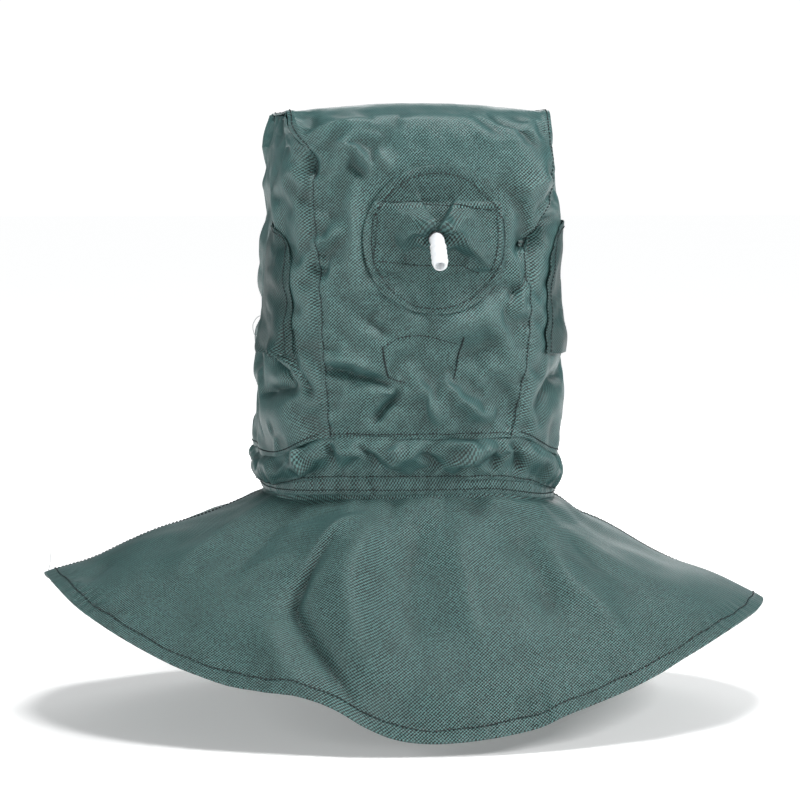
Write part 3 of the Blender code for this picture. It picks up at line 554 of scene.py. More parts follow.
def close_shell(top, low, faces, uv, marks):
    """Joins an outer and an inner layer of the same faces into one closed mesh with rounded edges."""
    edges = np.concatenate([faces[:, [i, (i + 1) % 4]] for i in range(4)])
    edge_uv = np.concatenate([uv[:, [i, (i + 1) % 4]] for i in range(4)])
    _, inverse, counts = np.unique(np.sort(edges, axis=1), axis=0, return_inverse=True,
                                   return_counts=True)
    alone = counts[inverse.ravel()] == 1
    rim, rim_uv = edges[alone], edge_uv[alone]
    through = top - low
    thick = np.linalg.norm(through, axis=1)
    normal = through / np.maximum(thick, 1e-9)[:, None]
    away = np.zeros_like(top)
    step = np.cross(top[rim[:, 1]] - top[rim[:, 0]], normal[rim[:, 0]])
    np.add.at(away, rim[:, 0], step)
    np.add.at(away, rim[:, 1], step)
    away /= np.maximum(np.linalg.norm(away, axis=1), 1e-12)[:, None]
    ends = np.unique(rim)
    count = len(top)
    place = np.full(count, -1)
    place[ends] = 2 * count + np.arange(len(ends))
    middle = (top + low)[ends] / 2 + away[ends] * thick[ends, None] * 0.4
    a, b = rim[:, 0], rim[:, 1]
    upper = np.stack([b, a, place[a], place[b]], -1)
    lower = np.stack([place[b], place[a], a + count, b + count], -1)
    wall_uv = rim_uv[:, [1, 0, 0, 1]]
    quads = np.concatenate([faces, faces[:, ::-1] + count, upper, lower])
    corners = np.concatenate([uv, uv[:, ::-1], wall_uv, wall_uv])
    points = np.concatenate([top, low, middle])
    # the inner layer takes less wear and the fold mark turned over; the rounded rim is worn, and its
    # painted ridge highlight is kept faint
    marked = np.concatenate([marks, marks * (0.3, -1), np.maximum(marks[ends], (0.8, -0.2))])
    used, index = np.unique(quads, return_inverse=True)
    return points[used], index.reshape(quads.shape), corners, marked[used]


def cloth_piece(node, surface, outer, inner, material, uv, wear=0.0, skip=None, kind="cloth"):
    """A closed cloth mesh between two offsets of a surface, in place of a CAD node. outer, inner and
    wear are values or functions of (u, v), uv is a function of them, and skip(u, v) says which
    points' faces are left out."""
    u, v = np.meshgrid(surface.us, surface.vs)
    p, n = surface.frame(u, v)
    lift, moved = surface.lift(p, n), surface.moved(u, v)

    def value(thing):
        return thing(u, v) if callable(thing) else np.full(u.shape, float(thing))
    top = p + n * (lift + value(outer))[..., None] + moved
    low = p + n * (lift + value(inner))[..., None] + moved
    faces, flat = grid_faces(len(surface.vs), len(surface.us), surface.closed)
    if surface.sign < 0:
        faces, flat = faces[:, ::-1], flat[:, ::-1]
    if skip is not None:
        kept = ~skip(u, v).ravel()[faces].any(1)
        faces, flat = faces[kept], flat[kept]
    wide, tall = np.meshgrid(np.append(surface.us, surface.end), surface.vs)
    corners = np.stack(uv(wide, tall), -1).reshape(-1, 2)[flat]
    # the fold mark: how far the folds sink the cloth below the cloth around it, which the material paints
    # as shade in creases and as a highlight on ridges
    hollow = hollows(top, n, surface.closed) - hollows(p, n, surface.closed)
    marks = np.stack([value(wear), np.clip(hollow / CREASE_SHADE_DEPTH, -1, 1)], -1).reshape(-1, 2)
    shell = close_shell(top.reshape(-1, 3), low.reshape(-1, 3), faces, corners, marks)
    points, faces, corners, marks = shell
    item = add_piece(node + "_" + kind, points, faces, material, corners, marks)
    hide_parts(node)
    return item


def laid_on(surface, u, v, off):
    """A line on a surface, as points and normals, for stitches."""
    return surface.at(u, v, off), surface.normal(u, v, off)


def stitches(name, lines, material, pitch=PITCH, length=STITCH, radius=THREAD_R, seed=7):
    """Thread along lines, each given as (points, normals): one short bowed tube for each stitch."""
    r = np.random.default_rng(seed)
    share = np.array([0.0, 0.12, 0.5, 0.88, 1.0])
    bow = np.array([-1.2, 0.1, 0.55, 0.1, -1.2]) * radius
    thick = np.array([0.5, 1.0, 1.0, 1.0, 0.5]) * radius
    turn = np.arange(6) * math.pi / 3
    points = []
    for p, n in lines:
        end = run_along(p)[-1]
        starts = np.arange(0.0, end - length * 0.5, pitch)
        starts = starts + r.uniform(-0.06, 0.06, len(starts)) * pitch
        at, up = along_line((p, n), np.clip(starts[:, None] + share * length, 0, end))
        up /= np.linalg.norm(up, axis=-1)[..., None]
        ahead = np.broadcast_to((at[:, -1:] - at[:, :1]), at.shape)
        side = np.cross(ahead, up)
        side /= np.maximum(np.linalg.norm(side, axis=-1), 1e-12)[..., None]
        slant = r.uniform(-0.10, 0.10, (len(starts), 1, 1)) * radius * 3
        centre = at + up * bow[:, None] + side * slant * (share[:, None] - 0.5) * 2
        ring = side[..., None, :] * np.cos(turn)[:, None]
        ring = ring + 0.8 * up[..., None, :] * np.sin(turn)[:, None]
        points.append(centre[..., None, :] + ring * thick[:, None, None])
    points = np.concatenate(points)
    k = np.arange(6)
    after = (k + 1) % 6
    quads = np.concatenate([np.stack([m * 6 + k, m * 6 + after, m * 6 + 6 + after, m * 6 + 6 + k], -1)
                            for m in range(4)])
    base = np.arange(len(points))[:, None, None] * 30
    faces = (base + quads).reshape(-1, 4).tolist()
    ends = np.stack([k[::-1], 24 + k])
    faces += (base + ends).reshape(-1, 6).tolist()
    add_piece(name, points.reshape(-1, 3), faces, material)


# ---- materials -----------------------------------------------------------------------------------
class Nodes:
    """Builds a material's nodes from short calls."""

    def __init__(self, name, colour, roughness, **inputs):
        self.material = bpy.data.materials.new(name)
        self.material.use_nodes = True
        self.tree = self.material.node_tree
        self.shader = self.tree.nodes["Principled BSDF"]
        self.shader.inputs["Base Color"].default_value = (*colour, 1)
        self.shader.inputs["Roughness"].default_value = roughness
        for key, value in inputs.items():
            self.shader.inputs[key.replace("_", " ")].default_value = value
        self.material.diffuse_color = (*colour, 1)

    def add(self, kind, **settings):
        node = self.tree.nodes.new("ShaderNode" + kind)
        for key, value in settings.items():
            setattr(node, key, value)
        return node

    def put(self, socket, value):
        if isinstance(value, bpy.types.NodeSocket):
            self.tree.links.new(value, socket)
        else:
            socket.default_value = value

    def math(self, operation, a, b=0.0, c=0.0):
        node = self.add("Math", operation=operation)
        for socket, value in zip(node.inputs, (a, b, c)):
            self.put(socket, value)
        return node.outputs[0]

    def uv(self):
        node = self.add("UVMap", uv_map="UVMap")
        split = self.add("SeparateXYZ")
        self.put(split.inputs[0], node.outputs[0])
        return split.outputs[0], split.outputs[1]

    def place(self):
        return self.add("TexCoord").outputs["Object"]

    def noise(self, scale, detail=2.0, vector=None, roughness=0.5, distortion=0.0):
        node = self.add("TexNoise")
        self.put(node.inputs["Vector"], vector if vector is not None else self.place())
        settings = {"Scale": scale, "Detail": detail, "Roughness": roughness, "Distortion": distortion}
        for key, value in settings.items():
            node.inputs[key].default_value = value
        return node.outputs[0]

    def span(self, value, low, high, to_low=0.0, to_high=1.0):
        node = self.add("MapRange")
        for socket, number in zip(node.inputs, (value, low, high, to_low, to_high)):
            self.put(socket, number)
        return node.outputs[0]

    def mix(self, share, a, b, blend="MIX"):
        node = self.add("Mix", data_type="RGBA", blend_type=blend)
        self.put(node.inputs[0], share)
        self.put(node.inputs[6], a if isinstance(a, bpy.types.NodeSocket) else (*a, 1))
        self.put(node.inputs[7], b if isinstance(b, bpy.types.NodeSocket) else (*b, 1))
        return node.outputs[2]

    def pair(self, a, share_a, b, share_b):
        """a and b added up, each times its share."""
        return self.math("MULTIPLY_ADD", a, share_a, self.math("MULTIPLY", b, share_b))

    def attribute(self, name):
        return self.add("Attribute", attribute_name=name).outputs["Fac"]

    def bump(self, height, strength, distance):
        node = self.add("Bump")
        node.inputs["Strength"].default_value = strength
        node.inputs["Distance"].default_value = distance
        self.put(node.inputs["Height"], height)
        self.put(self.shader.inputs["Normal"], node.outputs[0])

    def wave(self, x, y, kx, ky):
        """A sine wave of x and y, from 0 to 1, with kx and ky full waves to the metre."""
        phase = self.math("MULTIPLY_ADD", x, 2 * math.pi * kx, self.math("MULTIPLY", y, 2 * math.pi * ky))
        return self.math("MULTIPLY_ADD", self.math("SINE", phase), 0.5, 0.5)


def times(colour, factor):
    return tuple(factor * k for k in colour)


CANVAS = (0.0305, 0.0665, 0.0635)       # the green-grey dye
# the first tone is a painted highlight that the cloth's ridges take, the second is the tone of worn cloth
RIDGE_HIGHLIGHT, WORN_TONE = (0.095, 0.160, 0.152), (0.100, 0.160, 0.155)


def canvas(name, tint=1.0, fades=(0.06, 0.42)):
    """Coated twill: diagonal ribs crossed by threads, with painted glints on the threads and painted
    shade between them, painted shade in creases, painted highlights on ridges, faded and grimy patches
    and worn edges. Its ribs fade as the cloth's edge-on share goes from one of the fades to the other."""
    dye = times(CANVAS, tint)
    m = Nodes(name, dye, 0.40, Sheen_Weight=0.03 * tint, Sheen_Roughness=0.4,
              Specular_IOR_Level=0.40 * tint)
    x, y = m.uv()
    sway = m.math("MULTIPLY", m.math("SUBTRACT", m.noise(45.0, 2.0), 0.5), 0.0016)
    x = m.math("ADD", x, sway)
    across = 1 / (TWILL * math.sqrt(2))
    rib = m.wave(x, y, across, -across)
    cross = m.wave(x, y, across, across)
    fine = m.math("MULTIPLY", m.wave(x, y, across * 3.0, across * 0.2),
                  m.wave(x, y, -across * 0.2, across * 3.0))
    weave = m.pair(rib, 0.58, cross, 0.42)
    speck = m.noise(520.0, 1.0)
    broad = m.noise(8.0, 3.0, roughness=0.6)
    middle = m.noise(38.0, 3.0)
    tone = m.math("MULTIPLY_ADD", weave, 0.70, m.pair(fine, 0.12, speck, 0.50))
    # the weave's colour runs from nearly black to over three times the dye: the twill's own pattern, with
    # painted shade in the gaps between its threads and painted glints on its threads and specks
    weave_glint_and_shade = m.mix(m.span(tone, 0.55, 0.75), times(dye, 0.02), times(dye, 3.3))
    height = m.add("SeparateXYZ")
    m.put(height.inputs[0], m.place())
    rubbed = m.span(height.outputs[2], -0.035, 0.030, 1.0, 0.60)
    turned = m.span(m.add("LayerWeight").outputs["Facing"], *fades, 1.0, 0.40)
    clear = m.math("MULTIPLY", rubbed, turned)
    fabric = m.mix(clear, (0.78 * dye[0], 1.10 * dye[1], 1.15 * dye[2]), weave_glint_and_shade)
    faded = m.mix(m.span(broad, 0.38, 0.72, 0.0, 0.18), fabric, times(dye, 1.9))
    grimy = m.mix(m.span(middle, 0.50, 0.75, 0.0, 0.30), faded, times(dye, 0.50))
    # from the fold mark: painted shade darkens the creases, and a painted highlight lightens the ridges
    fold = m.attribute("fold")
    crease_shaded = m.mix(m.span(fold, 0.05, 1.0, 0.0, 0.36), grimy, times(dye, 0.35))
    ridge_highlighted = m.mix(m.span(fold, -0.05, -1.0, 0.0, 0.22), crease_shaded, times(RIDGE_HIGHLIGHT, tint))
    worn = m.math("MULTIPLY", m.attribute("wear"),
                  m.span(m.noise(160.0, 3.0), 0.42, 0.68, 0.0, 0.45))
    m.put(m.shader.inputs["Base Color"], m.mix(worn, ridge_highlighted, times(WORN_TONE, tint)))
    gloss = m.math("MULTIPLY_ADD", broad, 0.12, 0.26)
    m.put(m.shader.inputs["Roughness"], m.math("MULTIPLY_ADD", speck, 0.20, gloss))
    relief = m.math("MULTIPLY_ADD", speck, 0.40, m.math("MULTIPLY_ADD", fine, 0.15, weave))
    m.bump(m.math("MULTIPLY", relief, clear), 0.75, 0.00060)
    return m.material


def thread_material(name, dark, light):
    """Twisted sewing thread, mottled between two tones."""
    m = Nodes(name, dark, 0.7)
    m.put(m.shader.inputs["Base Color"], m.mix(m.noise(700.0), dark, light))
    m.bump(m.noise(2600.0, 1.0), 0.4, 0.0002)
    return m.material


def webbing(name, colour, rib=0.0016):
    """Woven tape: chevron ribs along it, slightly fuzzy."""
    m = Nodes(name, colour, 0.8, Sheen_Weight=0.2, Sheen_Roughness=0.6)
    x, y = m.uv()
    bent = m.math("ABSOLUTE", m.math("SUBTRACT", m.math("PINGPONG", x, rib * 2), rib))
    chevron = m.wave(bent, y, 1 / rib * 0.6, 1 / rib)
    fibre = m.noise(1500.0, 2.0)
    tone = m.pair(chevron, 0.7, fibre, 0.3)
    m.put(m.shader.inputs["Base Color"], m.mix(tone, times(colour, 0.55), times(colour, 1.5)))
    m.put(m.shader.inputs["Roughness"], m.span(fibre, 0.3, 0.7, 0.70, 0.90))
    m.bump(tone, 0.6, 0.0005)
    return m.material


def moulded(name, colour, roughness, grain, depth, **inputs):
    """Moulded plastic or rubber: fine grain, uneven gloss, faint scuffs."""
    m = Nodes(name, colour, roughness, **inputs)
    fine, broad = m.noise(grain, 2.0), m.noise(28.0, 4.0, roughness=0.6)
    scuff = m.span(m.noise(90.0, 5.0, distortion=1.6), 0.60, 0.70)
    pale = tuple(min(1.15 * k, 0.95) for k in colour)
    light = tuple(min(1.25 * k + 0.02, 0.95) for k in colour)
    shade = m.mix(m.span(broad, 0.35, 0.7), times(colour, 0.85), pale)
    m.put(m.shader.inputs["Base Color"], m.mix(m.math("MULTIPLY", scuff, 0.35), shade, light))
    gloss = m.math("MULTIPLY_ADD", scuff, 0.12, roughness - 0.08)
    m.put(m.shader.inputs["Roughness"], m.math("MULTIPLY_ADD", broad, 0.15, gloss))
    m.bump(m.pair(fine, 0.6, broad, 0.4), 0.3, depth)
    return m.material


def steel():
    """Plated steel, with fine turned lines and dull patches."""
    m = Nodes("plated_steel", (0.62, 0.61, 0.59), 0.3, Metallic=1.0)
    stretched = m.add("Mapping")
    m.put(stretched.inputs[0], m.place())
    stretched.inputs["Scale"].default_value = (0.2, 1.0, 1.0)
    lines = m.noise(900.0, 2.0, vector=stretched.outputs[0])
    dull = m.noise(180.0, 3.0)
    tone = m.mix(m.span(dull, 0.35, 0.75), (0.66, 0.65, 0.62), (0.38, 0.36, 0.33))
    m.put(m.shader.inputs["Base Color"], tone)
    gloss = m.math("MULTIPLY_ADD", dull, 0.2, 0.14)
    m.put(m.shader.inputs["Roughness"], m.math("MULTIPLY_ADD", lines, 0.18, gloss))
    m.bump(lines, 0.2, 0.0001)
    return m.material


def lens_material():
    """Clear plastic sheet: a thin film of reflection over what lies behind, with faint scuffs."""
    m = Nodes("clear_lens", (0.12, 0.14, 0.14), 0.05, Specular_IOR_Level=1.0)
    scuff = m.span(m.noise(70.0, 3.0, distortion=2.5), 0.55, 0.75)
    m.put(m.shader.inputs["Roughness"], m.math("MULTIPLY_ADD", scuff, 0.12, 0.04))
    m.put(m.shader.inputs["Alpha"], m.math("MULTIPLY_ADD", scuff, 0.08, 0.30))
    return m.material


def foam():
    """Open-cell foam."""
    m = Nodes("pad_foam", (0.050, 0.052, 0.056), 0.95, Sheen_Weight=0.15)
    cell = m.add("TexVoronoi")
    m.put(cell.inputs["Vector"], m.place())
    cell.inputs["Scale"].default_value = 900.0
    pore = cell.outputs["Distance"]
    tone = m.mix(m.span(pore, 0.1, 0.6), (0.022, 0.023, 0.026), (0.070, 0.072, 0.078))
    m.put(m.shader.inputs["Base Color"], tone)
    m.bump(pore, 0.5, 0.0006)
    return m.material


def elastic_material():
    """White elastic: ribs across it, and a fine weave."""
    m = Nodes("ribbed_elastic", (0.72, 0.72, 0.69), 0.8)
    x, y = m.uv()
    ribs = m.wave(x, y, 0.0, 1 / 0.0013)
    weave = m.wave(x, y, 1 / 0.0009, 1 / 0.0026)
    tone = m.pair(ribs, 0.6, weave, 0.4)
    m.put(m.shader.inputs["Base Color"], m.mix(tone, (0.46, 0.46, 0.43), (0.82, 0.82, 0.79)))
    m.put(m.shader.inputs["Roughness"], m.span(weave, 0.0, 1.0, 0.7, 0.9))
    m.bump(tone, 0.5, 0.0005)
    return m.material


def floor_material():
    """A pale floor with a painted glow, faint under the object and growing away from it until it meets
    the white backdrop.
    """
    m = Nodes("studio_floor", (0.90, 0.90, 0.90), 0.85)
    tone = m.mix(m.noise(0.8, 3.0), (0.885, 0.885, 0.885), (0.925, 0.925, 0.925))
    m.put(m.shader.inputs["Base Color"], tone)
    m.shader.inputs["Emission Color"].default_value = (1, 1, 1, 1)
    away = m.add("VectorMath", operation="LENGTH")
    m.put(away.inputs[0], m.place())
    # painted glow: the emission grows with the distance from the object's middle
    m.put(m.shader.inputs["Emission Strength"], m.span(away.outputs[1], 0.5, 1.6, 0.24, 0.85))
    return m.material


# ---- hood panels ---------------------------------------------------------------------------------
# Folds of the hood, in metres: the line, its height, how far it spreads on its left and right, and
# where it isn't the usual one, the width of its crest and how much of each end fades.
HOOD_FOLDS = [
    # over the crown's left corner, and the bent creases under it
    ([(-0.104, -0.103, 0.019), (-0.089, -0.112, 0.017), (-0.066, -0.114, 0.021), (-0.036, -0.114, 0.023)],
     0.0016, 0.004, 0.007),
    ([(-0.078, -0.117, 0.009), (-0.063, -0.121, 0.001), (-0.054, -0.122, -0.006),
      (-0.047, -0.122, -0.017), (-0.044, -0.123, -0.028)], 0.0030, 0.005, 0.003),
    ([(-0.067, -0.121, -0.011), (-0.058, -0.122, -0.017), (-0.049, -0.123, -0.026)],
     -0.0018, 0.003, 0.004),
    ([(-0.040, -0.122, 0.000), (-0.033, -0.123, -0.013), (-0.024, -0.123, -0.022)],
     0.0020, 0.004, 0.003),
    # the pinch at the upper left seam and the bulge beside it
    ([(-0.096, -0.111, 0.002), (-0.093, -0.114, -0.013), (-0.092, -0.114, -0.028)],
     -0.0040, 0.003, 0.004),
    ([(-0.109, -0.099, -0.010), (-0.104, -0.107, -0.026), (-0.094, -0.113, -0.034)],
     0.0018, 0.006, 0.005),
    # the big diagonal fold at the right, and the smooth swell above it
    ([(0.118, -0.080, -0.052), (0.108, -0.100, -0.066), (0.097, -0.113, -0.076), (0.070, -0.122, -0.090)],
     -0.0060, 0.006, 0.009),
    ([(0.110, -0.096, -0.020), (0.094, -0.113, -0.030), (0.075, -0.121, -0.043)], 0.0038, 0.014, 0.010),
    ([(0.094, -0.113, -0.104), (0.084, -0.118, -0.116), (0.070, -0.123, -0.130)],
     -0.0032, 0.004, 0.006),
    # puckers at the left of the patch
    ([(-0.100, -0.110, -0.077), (-0.090, -0.117, -0.081), (-0.076, -0.121, -0.073),
      (-0.063, -0.123, -0.077)], 0.0026, 0.005, 0.003),
    ([(-0.098, -0.112, -0.094), (-0.090, -0.117, -0.102), (-0.078, -0.121, -0.104)],
     -0.0028, 0.003, 0.005),
    # under the patch
    ([(-0.090, -0.115, -0.184), (-0.063, -0.123, -0.191), (-0.038, -0.127, -0.196),
      (-0.024, -0.127, -0.208)], -0.0036, 0.004, 0.005),
    ([(-0.088, -0.116, -0.176), (-0.060, -0.123, -0.182), (-0.036, -0.127, -0.187)],
     0.0026, 0.006, 0.005),
    ([(-0.027, -0.127, -0.200), (-0.022, -0.128, -0.209), (-0.033, -0.127, -0.222),
      (-0.048, -0.125, -0.238)], -0.0040, 0.004, 0.006),
    ([(-0.010, -0.128, -0.190), (0.004, -0.128, -0.214), (0.014, -0.128, -0.240)],
     0.0038, 0.006, 0.005),
    ([(0.012, -0.128, -0.190), (0.031, -0.127, -0.214), (0.060, -0.123, -0.234)], 0.0042, 0.007, 0.005),
    ([(0.010, -0.127, -0.158), (0.040, -0.126, -0.147), (0.070, -0.123, -0.134)],
     0.0038, 0.010, 0.012, 0.006),
    ([(-0.033, -0.126, -0.130), (-0.044, -0.126, -0.146), (-0.022, -0.127, -0.160)],
     -0.0030, 0.006, 0.006),
    ([(0.020, -0.127, -0.178), (0.050, -0.125, -0.170), (0.072, -0.122, -0.158)],
     -0.0030, 0.012, 0.007, 0.004),
    ([(0.082, -0.119, -0.096), (0.084, -0.118, -0.120), (0.080, -0.119, -0.150)], 0.0026, 0.006, 0.004),
    # a long shallow bend beside the patch's left
    ([(-0.070, -0.122, -0.028), (-0.060, -0.123, -0.060), (-0.058, -0.123, -0.100),
      (-0.050, -0.124, -0.140)], 0.0022, 0.008, 0.005, 0.003),
    # under the left ear patch
    ([(-0.130, -0.040, -0.170), (-0.120, -0.083, -0.190), (-0.104, -0.102, -0.212)],
     -0.0060, 0.005, 0.006),
    ([(-0.128, -0.070, -0.162), (-0.112, -0.096, -0.182), (-0.096, -0.108, -0.208)],
     0.0045, 0.006, 0.006),
    ([(-0.117, -0.092, -0.168), (-0.104, -0.102, -0.190), (-0.089, -0.111, -0.218)],
     -0.0045, 0.004, 0.005),
    ([(-0.134, -0.030, -0.214), (-0.118, -0.085, -0.206), (-0.104, -0.101, -0.214)],
     -0.0040, 0.005, 0.005),
    # the crown narrows at its left, and the right side swells below its patch
    ([(-0.118, -0.090, 0.012), (-0.119, 0.000, 0.016), (-0.118, 0.085, 0.012)],
     -0.0026, 0.016, 0.016, 0.010, (0.10, 0.10)),
    ([(0.131, -0.070, -0.200), (0.131, 0.060, -0.200)], 0.0017, 0.020, 0.020, 0.012, (0.2, 0.2)),
    # under the right ear patch
    ([(0.132, -0.030, -0.196), (0.119, -0.084, -0.204), (0.098, -0.108, -0.226)],
     -0.0036, 0.006, 0.006),
]


def patch_slack(p):
    """Folds die away where the stiffener and the patch hold the back flat, and at the crown's top."""
    wide = np.abs(p[..., 0] - PLATE_X) / (PLATE_W / 2 + 0.006)
    tall = np.abs(p[..., 2] - PLATE_Z) / (PLATE_H / 2 + 0.008)
    held = np.maximum(wide, tall)
    top = 1 - 0.75 * ease((p[..., 2] - 0.022) / 0.012)
    return np.where(p[..., 1] < 0, ease((held - 0.85) / 0.45), 1.0) * top * corner_slack(p)


def corner_slack(p):
    """The crown's right corner is pulled tight."""
    return 1 - 0.85 * ease((p[..., 0] - 0.096) / 0.010) * ease((p[..., 2] + 0.012) / 0.020)


def window_slack(p):
    """The window's frame holds the front panel flat."""
    wide, tall = np.abs(p[..., 0]) / 0.088, np.abs(p[..., 2] - WINDOW_Z) / 0.074
    return ease((np.maximum(wide, tall) - 0.8) / 0.4)


def ear_slack(p):
    """The ear patches hold the side panels flat."""
    away = np.hypot((p[..., 1] - EAR_Y) / 0.05, (p[..., 2] - EAR_Z) / 0.055)
    return corner_slack(p) * ease(away * 1.1 - 0.1)


def edge_columns(half):
    """Columns over a panel from -1 to 1, finer beside its edges. half is its half width in metres."""
    rim = 0.011 / half
    side = steps(1 - rim, 1, FINE / half)
    middle = steps(-(1 - rim), 1 - rim, STEP / half)
    return np.concatenate([-side[::-1], middle[1:-1], side])


def strip_lap(u, s):
    """The strip's outer face: it steps up over the side panels' edges and over the front panel's."""
    inside = (1 - np.abs(u)) * strip_half(s, u)
    step = ease(1 - (inside - 0.0045) / 0.0035)
    end = np.where(s < 4.5, ease(1 - (4.008 - s) / 0.030), 0.0) * (s > 3.5)
    return FACE + LAP * np.maximum(step, end)


def strip_wear(u, s):
    """Worn at the turned edge, beside its stitching and over the crown's bends."""
    inside = (1 - np.abs(u)) * strip_half(s, u)
    stitched = 0.30 * np.exp(-((inside - 0.006) / 0.003) ** 2)
    crown = 0.35 * np.exp(-((np.minimum(s, 5 - s) - 1.5) / 0.35) ** 2)
    return np.clip(0.85 * np.exp(-inside / 0.0012) + stitched + crown, 0, 1)


STATIONS = np.linspace(-0.02, 5.02, 505)
STATION_ARC = run_along(np.stack(profile(STATIONS)[:2], -1))


def strip_uv(u, s):
    return u * strip_half(s, u), np.interp(s, STATIONS, STATION_ARC)


def even_stations(low, high, step):
    """Stations from low to high that divide the strip into equal lengths."""
    a, b = np.interp([low, high], STATIONS, STATION_ARC)
    return np.interp(steps(a, b, step), STATION_ARC, STATIONS)


def front_x(u, s):
    """The front panel's columns: straight beside the window's opening, slanted towards its seams."""
    opening = (OPEN_W + 0.004) / 2
    outside = opening + (np.abs(u) - 0.5) / 0.5 * (strip_half(s, u) - opening)
    return np.sign(u) * np.where(np.abs(u) < 0.5, np.abs(u) / 0.5 * opening, outside)


def front_base(u, s):
    """The front panel: u from -1 to 1 over its width, s as the strip's stations."""
    return strip_point(front_x(u, s), s)


def front_uv(u, s):
    return front_x(u, s), np.interp(s, STATIONS, STATION_ARC)


def make_hood(cloth):
    """The strip, the front panel and the two side panels. Returns their surfaces by name."""
    strip = Surface(strip_base, edge_columns(0.09), even_stations(-0.008, 4.008, STEP), (0, 0, -0.1))
    folds = [Fold(*f) for f in HOOD_FOLDS] + [Undulation(3, 0.0008, 0.07), Undulation(5, 0.0003, 0.022)]
    seams = []
    for sign in (-1, 1):
        s = np.linspace(0, 5, 120)
        line = strip_point(sign * (strip_half(s, sign) - 0.004), s)
        seams.append(SeamPull(line, 0.0005, 0.0007, 0.013, 0.009))
    strip.folds = folds + seams
    strip.slack = patch_slack
    crumple(strip, 38, 100, 0.060, 0.5, 0.0090, seed=11)
    cloth_piece("back_and_crown_panel", strip, strip_lap, lambda u, s: strip_lap(u, s) - FABRIC,
                cloth, strip_uv, strip_wear)

    above, below = (5 - float(back_station(WINDOW_Z + side * (OPEN_H / 2 + 0.002))) for side in (1, -1))
    rows = np.concatenate([even_stations(3.992, above, STEP)[:-1], even_stations(above, below, STEP)[:-1],
                           even_stations(below, 5.008, STEP)])
    half = (OPEN_W + 0.004) / 2
    middle = steps(-0.5, 0.5, 0.5 * STEP / half)
    outer = np.concatenate([steps(0.5, 0.87, 0.037)[1:], steps(0.87, 1.0, 0.013)[1:]])
    front = Surface(front_base, np.concatenate([-outer[::-1], middle, outer]), rows, (0, 0, -0.1))
    front.folds = [Undulation(8, 0.0008, 0.06)] + seams
    front.slack = window_slack
    crumple(front, 30, 38, 0.012, 0.3, 0.0035, seed=12)

    def front_face(u, s):
        return FACE - 0.0003 * ease(1 - (s - 4) / 0.05)

    def opening(u, s):
        return (np.abs(u) < 0.499) & (s > above + 1e-4) & (s < below - 1e-4)
    cloth_piece("front_panel", front, front_face, FACE - 0.0003 - FABRIC, cloth, front_uv, strip_wear,
                skip=opening)
    surfaces = {"strip": strip, "front": front}
    for name, sign in (("left", -1), ("right", 1)):
        side = Surface(side_base(sign), steps(0, 1, STEP / SIDE_DEPTH), side_levels(), (0, 0, -0.1))
        side.folds = folds + seams + [Undulation(20 + sign, 0.0012, 0.05)]
        side.slack = ear_slack
        crumple(side, 44, 48, 0.034, -0.9 if sign < 0 else -0.5, 0.0060, seed=30 + sign)
        cloth_piece(name + "_side_panel", side, FACE, FACE - FABRIC, cloth, side_uv(sign), side_wear)
        surfaces[name] = side
    return surfaces


def side_levels():
    """The side panels' rows, evenly spaced up the wall and round the crown's bend."""
    return np.concatenate([steps(-0.008, 1, STEP / WALL_H)[:-1], steps(1, 2, STEP / FOLD_ARC)])


def side_wear(t, level):
    edge = np.minimum(t, 1 - t) * SIDE_DEPTH
    crown = (2 - level) * FOLD_ARC
    return np.clip(0.5 * np.exp(-edge / 0.002) + 0.5 * np.exp(-crown / 0.003), 0, 1)


def side_uv(sign):
    """The side panel's cloth laid flat, in metres, so that its weave runs true."""
    def uv(t, level):
        return sign * t * SIDE_DEPTH + sign * 0.09, np.interp(level, STATIONS, STATION_ARC)
    return uv


# ---- patches -------------------------------------------------------------------------------------
def ear_place(a, b):
    """A point of the ear patch as (y, z), and how far it is from the patch's sewn edge. The patch is
    a half disc above a rectangle."""
    upper = b > 0
    y = a * EAR_A * np.where(upper, np.sqrt(1 - np.minimum(b * b, 1) / 2), 1.0)
    z = np.where(upper, b * EAR_A * np.sqrt(1 - a * a / 2), b * EAR_DROP)
    return EAR_Y + y, EAR_Z + z, EAR_A - np.where(upper, np.hypot(y, z), np.abs(y))


def side_place(side, sign, y, z):
    """The (t, level) of a side panel at which it has this y and z."""
    level = back_station(z)
    for _ in range(3):
        low, high = side.base(np.zeros_like(y), level), side.base(np.ones_like(y), level)
        t = (y - low[..., 1]) / (high[..., 1] - low[..., 1])
        found = side.base(t, level)
        level = level + (z - found[..., 2]) / WALL_H
    return np.clip(t, 0, 1), level


def make_ear_patches(cloth, surfaces):
    made = {}
    for name, sign in (("left", -1), ("right", 1)):
        side = surfaces[name]

        def base(a, b, side=side, sign=sign):
            y, z, edge = ear_place(a, b)
            t, level = side_place(side, sign, y, z)
            gape = 0.0024 if sign < 0 else 0.0008
            puff = 0.0008 * ease(edge / 0.012) + gape * ease((-b - 0.55) / 0.45)
            return side.at(t, level, FACE + 0.0007 + puff)
        grid = steps(-1, 1, 0.035)
        patch = Surface(base, grid, grid, (0, EAR_Y, EAR_Z))
        patch.folds, patch.lowest = [Undulation(41 + sign, 0.0008, 0.03)], 0.0
        cloth_piece(name + "_ear_patch", patch, FABRIC * 1.5, 0.0, cloth, ear_uv(sign), patch_wear)
        made[name] = patch
    return made


def ear_uv(sign):
    def uv(a, b):
        y, z, _ = ear_place(np.clip(a, -1, 1), b)
        return sign * y, z
    return uv


def patch_wear(a, b):
    return 0.9 * np.exp(-np.minimum(ear_place(a, b)[2], (1 + b) * EAR_DROP) / 0.0022)


def patch_place(angle, radius):
    """A point of the back patch as (x, z)."""
    share = ease(radius / PATCH_R)
    x = INLET_X + (PATCH_X - INLET_X) * share + radius * np.cos(angle)
    z = INLET_Z + (PATCH_Z - INLET_Z) * share + radius * np.sin(angle)
    return x, z


